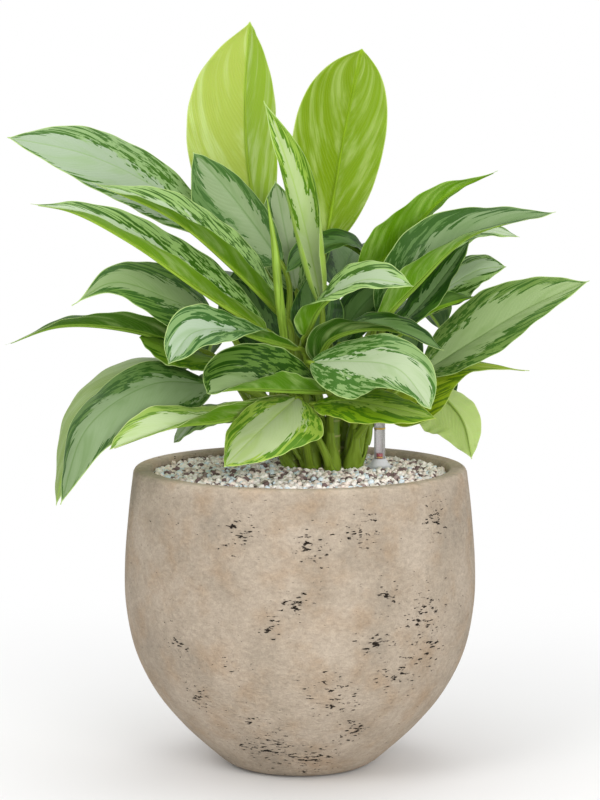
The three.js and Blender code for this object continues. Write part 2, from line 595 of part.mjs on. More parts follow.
function spearGeometry(spear) {
  const curve = new THREE.CatmullRomCurve3(spear.path.map(vec));
  const steps = 6;
  const points = curve.getSpacedPoints(steps);
  const radii = new THREE.CatmullRomCurve3(spear.radii.map((r, i) => new THREE.Vector3(r, 0, i)));
  const frames = turningFrames(points, new THREE.Vector3(1, 0, 0));
  return skinRings(frames.map((frame, i) => stalkRing(frame, Math.max(0.5, radii.getPoint(i / steps).x))));
}

// The whole plant in its pot
const plant = new THREE.Group();
addMesh(plant, 'pot', potGeometry(), cement);
addMesh(plant, 'granules', soilGeometry(), granules);
plant.add(gaugeGroup());
for (const [key, cane] of Object.entries(canes)) {
  placeAlongCane(addMesh(plant, `cane_${key}`, caneGeometry(cane), caneGreen), cane);
}
for (const spear of spears) {
  addMesh(plant, spear.name, spearGeometry(spear), leafFinish.plain);
}
for (const leaf of leaves) {
  addMesh(plant, `leaf_${leaf.name}`, leafGeometry(leaf), leafFinish[leaf.kind]);
}

export default plant;
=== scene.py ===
# A potted Chinese evergreen: variegated leaves on arching stalks, six canes, a fibre cement orb pot of
# mineral grains and a float gauge for its water. The scene is in metres, and sizes are in millimetres.
import math
import random

import bmesh
import bpy
import numpy as np
from mathutils import Matrix, Vector, noise


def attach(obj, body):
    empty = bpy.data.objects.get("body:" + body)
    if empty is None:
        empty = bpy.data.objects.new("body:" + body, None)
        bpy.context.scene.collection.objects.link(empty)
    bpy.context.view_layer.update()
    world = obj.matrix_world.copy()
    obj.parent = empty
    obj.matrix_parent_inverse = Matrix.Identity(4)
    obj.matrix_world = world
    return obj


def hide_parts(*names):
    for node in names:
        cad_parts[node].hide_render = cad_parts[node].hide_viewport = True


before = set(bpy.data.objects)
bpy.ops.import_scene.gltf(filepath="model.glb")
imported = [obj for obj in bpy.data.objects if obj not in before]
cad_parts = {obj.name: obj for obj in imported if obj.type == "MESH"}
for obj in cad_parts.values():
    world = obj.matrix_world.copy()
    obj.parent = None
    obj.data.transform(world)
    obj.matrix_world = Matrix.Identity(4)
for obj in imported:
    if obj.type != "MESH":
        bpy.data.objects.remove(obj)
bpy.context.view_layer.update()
mm = 0.001
scene = bpy.context.scene


# Colours are sRGB hex values, turned to linear here
def linearColour(hexColour):
    parts = [int(hexColour[i:i + 2], 16) / 255 for i in (1, 3, 5)]
    return (*[c / 12.92 if c <= 0.04045 else ((c + 0.055) / 1.055) ** 2.4 for c in parts], 1.0)


# Adds one node with its settings and links; an input may be a value, a socket or a node (first output)
def addNode(tree, kind, inputs=None, **settings):
    node = tree.nodes.new("ShaderNode" + kind)
    for key, value in settings.items():
        setattr(node, key, value)
    for key, value in (inputs or {}).items():
        if isinstance(value, bpy.types.Node):
            value = value.outputs[0]
        if isinstance(value, bpy.types.NodeSocket):
            tree.links.new(value, node.inputs[key])
        else:
            node.inputs[key].default_value = value
    return node


def newMaterial(name):
    material = bpy.data.materials.new(name)
    material.use_nodes = True
    material.node_tree.nodes.clear()
    return material, material.node_tree


smooth = {"interpolation_type": "SMOOTHSTEP"}       # for a range with soft ends


def pointInMm(tree):
    place = addNode(tree, "TexCoord").outputs["Object"]
    return addNode(tree, "VectorMath", {0: place, "Scale": 1 / mm}, operation="SCALE")


# Tones laid over a first one in turn, each by its share
def layered(tree, tone, *layers):
    for share, over in layers:
        tone = addNode(tree, "Mix", {0: share, 6: tone, 7: over}, data_type="RGBA").outputs[2]
    return tone


# The three values that a mesh attribute holds for each point
def valuesOf(tree, name):
    held = addNode(tree, "Attribute", attribute_name=name).outputs["Vector"]
    return list(addNode(tree, "SeparateXYZ", {0: held}).outputs)


def tonesOf(tree, *names):
    return [addNode(tree, "Attribute", attribute_name=name).outputs["Color"] for name in names]


# Materials of the plant
leafFinish = {
    "streakAcross": 12.5,   # dark streaks: their spacing across the lateral veins, along the midrib
    "streakAlong": 5.2,     # and their reach outwards
    "featherAcross": 8.5,   # the jagged edge of the silver
    "featherAlong": 4.5,
    "cloudAcross": 26.0,    # slow changes of tone and gloss
    "cloudAlong": 18.0,
    "underAcross": 22.0,    # paler streaks of the under face
    "underAlong": 24.0,
    "plainAcross": 24.0,    # and those of a leaf without silver
    "plainAlong": 26.0,
    "veinSpacing": 6.5,     # lateral veins leave the midrib this far apart
    "veinWander": 9.0,      # how far they stray, so that no two look ruled
    "rimWidth": 1.3,        # the pale line round the margin
    "midribWidth": 1.2,
    "underRib": (2.6, 1.2),     # between these distances the under face turns to the midrib's tone
    "plainRib": (1.3, 0.5),     # and so does the upper face of a leaf without silver
    "stalkRibs": 1.6,       # the fine ribs round a stalk
    "stalkStreaks": 30.0,   # and the streaks along it
    "surfaceGrain": 1.1,    # the cells of the leaf skin, drawn coarse so that they show
    "roughness": 0.42,
}
waxBloom = {"IOR": 1.42, "Specular IOR Level": 0.3}
# light goes a little way into living leaf, green furthest
juicyFlesh = {"Subsurface Weight": 0.1, "Subsurface Radius": (0.6, 1.0, 0.2)}


# Where a point is on its leaf: vein phase, mm out, seed, then share of the length and width, mm to the rim
def leafSpots(tree):
    return valuesOf(tree, "leafMap") + valuesOf(tree, "leafPlace")


# Noise drawn out along the lateral veins, for marks that follow them
def veinNoise(tree, spots, across, reach, shift=0.0, **settings):
    vein, out, seed = spots[:3]
    place = addNode(tree, "CombineXYZ", {
        0: addNode(tree, "Math", {0: vein, 1: across}, operation="DIVIDE"),
        1: addNode(tree, "Math", {0: out, 1: reach}, operation="DIVIDE"),
        2: addNode(tree, "Math", {0: seed, 1: shift}, operation="ADD")})
    return addNode(tree, "TexNoise", {"Vector": place, "Scale": 1.0, **settings})


# The quilting between lateral veins, a wave with one trough to a vein, and the veins' own fine lines
def veinRipple(tree, vein, wander, lineFrom, lineStrength):
    size = leafFinish
    phase = addNode(tree, "Math", {0: vein, 1: 2 * math.pi / size["veinSpacing"]}, operation="MULTIPLY")
    phase = addNode(tree, "Math", {0: wander, 1: size["veinWander"], 2: phase}, operation="MULTIPLY_ADD")
    ripple = addNode(tree, "Math", {0: phase}, operation="COSINE")
    line = addNode(tree, "MapRange", {"Value": ripple, "From Min": lineFrom, "From Max": 1.0,
                                      "To Max": lineStrength}, **smooth)
    return ripple, line


def rimLine(tree, rim, strength):    # the thin pale line round a leaf's margin
    width = leafFinish["rimWidth"]
    return addNode(tree, "MapRange", {"Value": rim, "From Min": width, "From Max": 0.3 * width,
                                      "To Max": strength}, **smooth)


# Living aroid leaf, upper face. A thin wax bloom gives a soft broad sheen over silver cells that lie
# between dark green streaks, which follow the lateral veins out towards the margin.
def waxyVariegatedLeaf():
    material, tree = newMaterial("waxyVariegatedLeaf")
    size = leafFinish
    spots = leafSpots(tree)
    vein, out, _, along, share, rim = spots
    silverWidth, streakBar = [addNode(tree, "Attribute", attribute_name=name).outputs["Fac"]
                              for name in ("silverWidth", "streakBar")]
    paleTone, greenTone, darkTone, rimTone = tonesOf(tree, "paleTone", "greenTone", "darkTone", "rimTone")
    streak = veinNoise(tree, spots, size["streakAcross"], size["streakAlong"], Detail=4.0, Roughness=0.58)
    feather = veinNoise(tree, spots, size["featherAcross"], size["featherAlong"], 5.3, Detail=2.0,
                        Roughness=0.6)
    cloud = veinNoise(tree, spots, size["cloudAcross"], size["cloudAlong"], 11.7, Detail=2.0)
    # how far a point is outside the silver, in shares of the half width, its edge broken up by feathers
    loose = addNode(tree, "Math", {0: feather, 1: 0.75, 2: -0.375}, operation="MULTIPLY_ADD")
    drift = addNode(tree, "Math", {0: cloud, 1: 0.6, 2: -0.3}, operation="MULTIPLY_ADD")
    tipward = addNode(tree, "MapRange", {"Value": along, "From Min": 0.9, "To Max": 0.5}, **smooth)
    outside = addNode(tree, "Math", {0: share, 1: silverWidth}, operation="SUBTRACT")
    for shift in (loose, drift, tipward):
        outside = addNode(tree, "Math", {0: outside, 1: shift}, operation="ADD")
    leaving = addNode(tree, "MapRange", {"Value": outside, "From Min": -0.06, "From Max": 0.05}, **smooth)
    # dark streaks: none in the silver, most at its edge, then each leaf's own share of the green
    bar = addNode(tree, "MapRange", {"Value": outside, "From Min": -0.1, "From Max": 0.0, "To Min": 0.3,
                                     "To Max": -0.045})
    later = addNode(tree, "MapRange", {"Value": outside, "From Min": 0.05, "From Max": 0.22, "To Max": 0.05})
    for step in (later, streakBar):
        bar = addNode(tree, "Math", {0: bar, 1: step}, operation="ADD")
    over = addNode(tree, "Math", {0: streak, 1: bar}, operation="SUBTRACT")
    dark = addNode(tree, "MapRange", {"Value": over, "From Max": 0.03}, **smooth)
    # faint lateral veins and clouds in the silver, the midrib's groove and the pale rim
    ripple, veinLine = veinRipple(tree, vein, cloud, 0.82, 0.12)
    mottle = addNode(tree, "MapRange", {"Value": cloud, "From Min": 0.42, "From Max": 0.72, "To Max": 0.4},
                     **smooth)
    tint = addNode(tree, "Math", {0: mottle, 1: veinLine}, operation="MAXIMUM")
    groove = addNode(tree, "MapRange", {"Value": out, "From Min": size["midribWidth"],
                                        "From Max": 0.25 * size["midribWidth"], "To Max": 0.55}, **smooth)
    flesh = layered(tree, paleTone, (tint, greenTone), (leaving, greenTone), (dark, darkTone),
                    (groove, greenTone), (rimLine(tree, rim, 0.85), rimTone))
    # relief: quilted between the veins, with a fine skin
    skin = veinNoise(tree, spots, size["surfaceGrain"], size["surfaceGrain"], 2.0, Detail=1.0)
    relief = addNode(tree, "Math", {0: ripple, 1: -0.35, 2: skin}, operation="MULTIPLY_ADD")
    bump = addNode(tree, "Bump", {"Height": relief, "Strength": 0.3, "Distance": 0.3 * mm})
    rough = size["roughness"]
    sheen = addNode(tree, "MapRange", {"Value": cloud, "From Min": 0.3, "From Max": 0.7,
                                       "To Min": rough - 0.05, "To Max": rough + 0.08})
    shader = addNode(tree, "BsdfPrincipled", {"Base Color": flesh, "Roughness": sheen, "Normal": bump,
                                              **waxBloom})
    addNode(tree, "OutputMaterial", {"Surface": shader})
    return material


# Living aroid leaf, under face: no silver, a drier skin than above, and the midrib and lateral veins
# stand out a little paler. The light that comes through is painted into its tones, which makes it the
# most saturated green of the plant.
def dryLeafUnderside():
    material, tree = newMaterial("dryLeafUnderside")
    size = leafFinish
    spots = leafSpots(tree)
    vein, out, *_, rim = spots
    underTone, ribTone, rimTone = tonesOf(tree, "underTone", "ribTone", "rimTone")
    streak = veinNoise(tree, spots, size["underAcross"], size["underAlong"], Detail=4.0, Roughness=0.55)
    lighter = addNode(tree, "MapRange", {"Value": streak, "From Min": 0.42, "From Max": 0.75, "To Max": 0.55},
                      **smooth)
    ripple, veinLine = veinRipple(tree, vein, streak, 0.8, 0.1)
    lighter = addNode(tree, "Math", {0: lighter, 1: veinLine}, operation="MAXIMUM")
    ribEdge, ribFull = size["underRib"]
    nearRib = addNode(tree, "MapRange", {"Value": out, "From Min": ribEdge, "From Max": ribFull,
                                         "To Max": 0.8}, **smooth)
    flesh = layered(tree, underTone, (lighter, rimTone), (nearRib, ribTone),
                    (rimLine(tree, rim, 0.8), rimTone))
    bump = addNode(tree, "Bump", {"Height": ripple, "Strength": 0.2, "Distance": 0.25 * mm})
    shader = addNode(tree, "BsdfPrincipled", {
        "Base Color": flesh, "Roughness": 0.5, "Normal": bump, "IOR": 1.42, "Specular IOR Level": 0.25,
        **juicyFlesh, "Subsurface Scale": 1.5 * mm})
    addNode(tree, "OutputMaterial", {"Surface": shader})
    return material


# Living aroid leaf without silver, upper face: evenly waxy, its lateral veins sunk in fine lines
def waxyPlainLeaf():
    material, tree = newMaterial("waxyPlainLeaf")
    size = leafFinish
    spots = leafSpots(tree)
    vein, out, *_, rim = spots
    paleTone, greenTone, ribTone, rimTone = tonesOf(tree, "paleTone", "greenTone", "ribTone", "rimTone")
    streak = veinNoise(tree, spots, size["plainAcross"], size["plainAlong"], Detail=4.0, Roughness=0.55)
    blend = addNode(tree, "MapRange", {"Value": streak, "From Min": 0.34, "From Max": 0.68}, **smooth)
    ripple, veinLine = veinRipple(tree, vein, streak, 0.8, 0.14)
    ribEdge, ribFull = size["plainRib"]
    groove = addNode(tree, "MapRange", {"Value": out, "From Min": ribEdge, "From Max": ribFull,
                                        "To Max": 0.6}, **smooth)
    flesh = layered(tree, paleTone, (blend, greenTone), (veinLine, rimTone), (groove, ribTone),
                    (rimLine(tree, rim, 0.7), rimTone))
    bump = addNode(tree, "Bump", {"Height": ripple, "Strength": 0.25, "Distance": -0.25 * mm})
    shader = addNode(tree, "BsdfPrincipled", {
        "Base Color": flesh, "Roughness": size["roughness"], "Normal": bump, **waxBloom, **juicyFlesh,
        "Subsurface Scale": 1.3 * mm})
    addNode(tree, "OutputMaterial", {"Surface": shader})
    return material


# Green stalk and sheath: smooth juicy skin with fine ribs along it, streaked deeper green between them
def ribbedGreenStalk():
    material, tree = newMaterial("ribbedGreenStalk")
    around, lengthwise, seed = valuesOf(tree, "stalkMap")
    tone, = tonesOf(tree, "stalkTone")
    drawn = addNode(tree, "CombineXYZ", {
        0: addNode(tree, "Math", {0: around, 1: leafFinish["stalkRibs"]}, operation="DIVIDE"),
        1: addNode(tree, "Math", {0: lengthwise, 1: leafFinish["stalkStreaks"]}, operation="DIVIDE"),
        2: seed})
    streak = addNode(tree, "TexNoise", {"Vector": drawn, "Scale": 1.0, "Detail": 2.0})
    ripe = addNode(tree, "MapRange", {"Value": streak, "From Min": 0.35, "From Max": 0.68}, **smooth)
    deeper = addNode(tree, "HueSaturation", {"Saturation": 1.05, "Value": 0.62, "Color": tone})
    bump = addNode(tree, "Bump", {"Height": streak, "Strength": 0.35, "Distance": 0.3 * mm})
    shader = addNode(tree, "BsdfPrincipled", {
        "Base Color": layered(tree, tone, (ripe, deeper)), "Roughness": 0.45, "Normal": bump, **waxBloom,
        **juicyFlesh, "Subsurface Scale": 1.5 * mm})
    addNode(tree, "OutputMaterial", {"Surface": shader})
    return material


leafTop = waxyVariegatedLeaf()
leafUnder = dryLeafUnderside()
leafPlain = waxyPlainLeaf()
stalkSkin = ribbedGreenStalk()
print("plant materials made")


# Curves and directions, as the solids have them

# A smooth curve through points, its speed matched to the square root of their spacing
def smoothCurve(points):
    pts = [np.array(p, float) for p in points]
    last = len(pts) - 1

    def at(t):
        place = last * t
        i = min(int(place), last - 1)
        w = place - i
        p1, p2 = pts[i], pts[i + 1]
        p0 = pts[i - 1] if i > 0 else 2 * pts[0] - pts[1]
        p3 = pts[i + 2] if i + 2 <= last else 2 * pts[last] - pts[last - 1]
        d0, d1, d2 = (max(np.linalg.norm(b - a), 1e-6) ** 0.5 for a, b in ((p0, p1), (p1, p2), (p2, p3)))
        t1 = ((p1 - p0) / d0 - (p2 - p0) / (d0 + d1) + (p2 - p1) / d1) * d1
        t2 = ((p2 - p1) / d1 - (p3 - p1) / (d1 + d2) + (p3 - p2) / d2) * d1
        return p1 + w * (t1 + w * (-3 * p1 + 3 * p2 - 2 * t1 - t2 + w * (2 * p1 - 2 * p2 + t1 + t2)))
    return at


def arcCurve(a, b, c, d):
    return lambda t: (1 - t) ** 3 * a + 3 * t * (1 - t) ** 2 * b + 3 * t * t * (1 - t) * c + t ** 3 * d


# Points evenly spaced along a curve, and its length
def spacedPoints(curve, shares):
    table = np.array([curve(i / 200) for i in range(201)])
    lengths = np.concatenate([[0], np.cumsum(np.linalg.norm(np.diff(table, axis=0), axis=1))])
    places = np.interp(np.array(shares) * lengths[-1], lengths, np.linspace(0, 1, 201))
    return np.array([curve(t) for t in places]), lengths[-1]


def unit(v):
    return v / max(np.linalg.norm(v), 1e-9)


# Directions square to a path that turn with it as little as they can: (ahead, side, up) at each point
def turningFrames(points, side):
    frames = []
    for i in range(len(points)):
        ahead = unit(points[min(i + 1, len(points) - 1)] - points[max(i - 1, 0)])
        side = unit(side - side.dot(ahead) * ahead)
        frames.append((ahead, side, np.cross(side, ahead)))
    return frames


def smoothStep(a, b, x):
    t = min(max((x - a) / (b - a), 0.0), 1.0)
    return t * t * (3 - 2 * t)


def lerp(a, b, t):
    return a + (b - a) * t


# A mesh object from rows of points in millimetres, with its values for the materials to read
def makePiece(name, points, faces, materials, indices=None, values=None, sharp=False):
    mesh = bpy.data.meshes.new(name)
    mesh.from_pydata([tuple(p) for p in np.asarray(points) * mm], [], faces)
    for material in materials:
        mesh.materials.append(material)
    if indices is not None:
        mesh.polygons.foreach_set("material_index", indices)
    mesh.polygons.foreach_set("use_smooth", [not sharp] * len(mesh.polygons))
    for key, data in (values or {}).items():
        data = np.asarray(data, np.float32)
        kind = {1: "FLOAT", 3: "FLOAT_VECTOR", 4: "FLOAT_COLOR"}[1 if data.ndim == 1 else data.shape[1]]
        layer = mesh.attributes.new(key, kind, "POINT")
        layer.data.foreach_set({"FLOAT": "value", "FLOAT_VECTOR": "vector", "FLOAT_COLOR": "color"}[kind],
                               data.ravel())
    mesh.update()
    piece = bpy.data.objects.new(name, mesh)
    scene.collection.objects.link(piece)
    return piece


# Faces between rows of points, each row closed on itself or open
def rowFaces(rows, columns, start=0, closed=False, flip=False):
    faces = []
    for i in range(rows - 1):
        for j in range(columns if closed else columns - 1):
            k = (j + 1) % columns
            face = (start + i * columns + j, start + i * columns + k,
                    start + (i + 1) * columns + k, start + (i + 1) * columns + j)
            faces.append(face[::-1] if flip else face)
    return faces


# The two caps of a piece whose rows are closed rings
def endFaces(rows, columns):
    last = (rows - 1) * columns
    return [tuple(range(columns))[::-1], tuple(range(last, last + columns))]


# Leaves: stalk, sheath, midrib and blade of each in one piece
caneSettings = {
    "radius": 7.6,
    "foot": 244,
    "a": {"at": (-6, 10), "lean": (-0.12, 0.02), "top": 384},
    "b": {"at": (13, -4), "lean": (-0.05, -0.05), "top": 372},
    "c": {"at": (32, -10), "lean": (0.01, -0.06), "top": 368},
    "d": {"at": (52, 0), "lean": (0.09, -0.02), "top": 374},
    "e": {"at": (18, 31), "lean": (-0.06, 0.08), "top": 396},
    "f": {"at": (42, 29), "lean": (0.08, 0.08), "top": 396},
}
soilTop = 292
soilCrown = 5       # how much higher the filling lies in the middle
soilLevel = soilTop + soilCrown


def alongCane(cane, height):
    rise = height - soilLevel
    return np.array([cane["at"][0] + cane["lean"][0] * rise, cane["at"][1] + cane["lean"][1] * rise, height])


bladeSettings = {
    "stations": 72,         # rows along a blade
    "across": 12,           # columns on each side of the midrib
    "crowding": 1.35,       # how much closer they lie near it
    "usualWidest": 0.45,    # where along it a blade is widest
    "fullness": 0.62,
    "usualTip": 0.04,       # how drawn out the tip is
    "usualCurl": (-0.35, -0.35),
    "thickness": 0.8,
    "wave": 1.5,            # the margin's slow wave
    "waveCount": 2.4,
    "leftStart": 1.0,
    "rightStart": 3.6,
    "ripple": 0.55,         # and a quicker, smaller one
    "rippleCount": 7.0,
    "grooveDepth": 0.45,
    "grooveWidth": 1.1,
    "flatBelow": 12,        # a part narrower than this lies flatter
    "veinSweep": (0.9, 1.2),    # how far the lateral veins bend towards the tip, evenly and near the margin
}
stalkSettings = {
    "radius": 3.1,
    "sides": 14,
    "stations": 16,
    "flare": 0.55,          # how much wider the stalk is where it leaves its sheath
    "standOff": 1.5,        # its foot's distance from the cane
    "usualRise": 0.3,       # how upright it leaves the cane
    "usualLead": 0.3,       # and how long it runs in line with the midrib before the blade
    "ribFoot": 2.5,
    "ribTip": 0.3,
    "sheathRows": 10,
    "sheathTop": 7,         # above the stalk's foot
    "sheathLength": 46,
    "sheathUneven": 0.25,   # how much their lengths differ
    "sheathBuried": 14,     # how far one may reach down into the filling
    "sheathWall": 1.0,
    "sheathGap": 0.5,       # between the cane and the highest sheath
    "sheathOverlap": 0.32,  # each sheath lies this far outside the next one up
    "sheathTopWrap": 24,    # degrees that the sheath reaches round the cane on each side, at its top
    "sheathWrap": 112,      # and below
}


def outlineShare(s, leaf):
    fullness = bladeSettings["fullness"]
    widest = leaf.get("widest", bladeSettings["usualWidest"])
    tip = leaf.get("tip", bladeSettings["usualTip"])
    rise = (s / widest) ** fullness
    fall = ((1 - s) / (1 - widest)) ** (fullness * (1 - widest) / widest)
    taper = (1 + tip) * (1 - s) / (1 + tip - s) + 0.03
    return rise * fall * min(1.0, taper)


# Each half's angle and width at each station, carried along the midrib from where they are given
def halvesAlong(leaf, path, shares):
    _, left, right = leaf["halves"][0]
    frames = turningFrames(path, np.subtract(right, left).astype(float))
    given = []
    for place, *halves in leaf["halves"]:
        _, side, up = frames[int(round(place * (len(path) - 1)))]
        given.append((place, *[np.array([np.dot(half, side), np.dot(half, up)]) for half in halves]))
    rows = []
    for s in shares:
        spot = next((k for k, g in enumerate(given) if g[0] >= s), len(given))
        before, after = given[max(spot - 1, 0)], given[min(spot, len(given) - 1)]
        t = 0.0 if after is before else (s - before[0]) / (after[0] - before[0])
        row = []
        for k in (1, 2):
            mixed = lerp(before[k], after[k], t)
            width = lerp(np.linalg.norm(before[k]), np.linalg.norm(after[k]), t)
            row.append((math.atan2(mixed[1], mixed[0]), width))
        rows.append(row)
    return frames, rows


# A half's arc from the midrib: place and direction a share u of the way out
def arcPoint(angle, width, curl, u):
    bend = curl if abs(curl) >= 1e-3 else 1e-3
    start = angle - bend / 2
    turn = start + bend * u
    radius = width / bend
    return radius * (math.sin(turn) - math.sin(start)), radius * (math.cos(start) - math.cos(turn)), turn


# One point of a blade's middle surface, its face direction, its distance from the midrib and the width there
def bladePoint(leaf, s, u, left, right, seed):
    size = bladeSettings
    sign = -1 if u < 0 else 1
    angle, fullWidth = left if u < 0 else right
    share = outlineShare(s, leaf)
    width = max(fullWidth * share, 0.5)
    settle = min(1.0, width / size["flatBelow"])
    lift = math.pi - angle if u < 0 else angle
    lifted = (lift - 2 * math.pi if lift > math.pi else lift) * settle
    curl = lerp(*leaf.get("curl", size["usualCurl"]), s) * settle
    x, y, turn = arcPoint(lifted, width, curl, abs(u))
    start = size["leftStart"] if u < 0 else size["rightStart"]
    wave = math.sin(2 * math.pi * size["waveCount"] * s + start)
    ripple = math.sin(2 * math.pi * size["rippleCount"] * s + seed + start)
    y += size["wave"] * u * u * wave * settle * share + size["ripple"] * abs(u) ** 3 * ripple * settle
    return sign * x, y, (-sign * math.sin(turn), math.cos(turn)), abs(u) * width, width


def bladeColumns():
    size = bladeSettings
    half = [(j / size["across"]) ** size["crowding"] for j in range(size["across"] + 1)]
    return [-u for u in half[:0:-1]] + half


# A stalk's curve from its cane to the blade, and the direction in which it leaves the cane
def stalkPath(leaf, midrib):
    size = stalkSettings
    upright = np.array([0.0, 0.0, 1.0])
    base = midrib(0)
    axis = alongCane(caneSettings[leaf["cane"]], leaf["foot"])
    out = unit(np.array([base[0] - axis[0], base[1] - axis[1], 0.0]))
    turn = math.radians(leaf.get("turn", 0))
    out = np.array([out[0] * math.cos(turn) - out[1] * math.sin(turn),
                    out[0] * math.sin(turn) + out[1] * math.cos(turn), 0.0])
    foot = axis + out * (caneSettings["radius"] + size["radius"] + size["standOff"])
    reach = np.linalg.norm(base - foot)
    towards = unit(unit(base - foot) + 0.5 * out)
    leave = unit(lerp(towards, upright, leaf.get("rise", size["usualRise"])))
    lead = unit(midrib(1e-4) - base) * leaf.get("lead", size["usualLead"]) * reach
    return arcCurve(foot, foot + leave * reach * 0.4, base - lead, base), out


# Rings of the sheath: a stalk's round foot that opens downwards into a band clasping the cane
def sheathRings(leaf, out, rank):
    size = stalkSettings
    cane = caneSettings[leaf["cane"]]
    ahead = unit(np.array([*cane["lean"], 1.0]))
    side = unit(np.cross(ahead, out))
    outer = np.cross(side, ahead)
    length = size["sheathLength"] * (1 + size["sheathUneven"] * math.sin(rank * 2.1))
    bottom = max(leaf["foot"] - length, soilLevel - size["sheathBuried"])
    rings, maps = [], []
    for i in range(size["sheathRows"] + 1):
        k = i / size["sheathRows"]
        height = lerp(leaf["foot"] + size["sheathTop"], bottom, k)
        centre = alongCane(cane, height)
        roundness = 1 - smoothStep(0.0, 0.75, k)
        wrap = math.radians(lerp(size["sheathTopWrap"], size["sheathWrap"], smoothStep(0.0, 0.9, k)))
        inside = caneSettings["radius"] + size["sheathGap"] + size["sheathOverlap"] * rank
        wall = size["sheathWall"] * (1 + 0.5 * math.sin(math.pi * k))
        lift = caneSettings["radius"] + size["radius"] + size["standOff"] - 0.6 * k
        ring = []
        for j in range(size["sides"]):
            phi = 2 * math.pi * (j + 0.5) / size["sides"]
            stalkFoot = side * math.cos(phi) * (size["radius"] + 0.7)
            stalkFoot = stalkFoot + outer * (lift + math.sin(phi) * size["radius"])
            theta = wrap * math.cos(phi)
            radius = inside + wall * (0.5 + 0.5 * math.sin(phi)) + 1.2 * roundness
            band = side * math.sin(theta) * radius + outer * math.cos(theta) * radius
            ring.append(centre + lerp(band, stalkFoot, roundness))
            maps.append((phi * 3, height, leaf["foot"] * 0.37))
        rings.append(ring)
    return np.array(rings), np.array(maps)


def bothSides(value):       # a pair is for the left half and the right, and one value for both
    paired = isinstance(value, tuple) and not isinstance(value[0], float)
    return value if paired else (value, value)


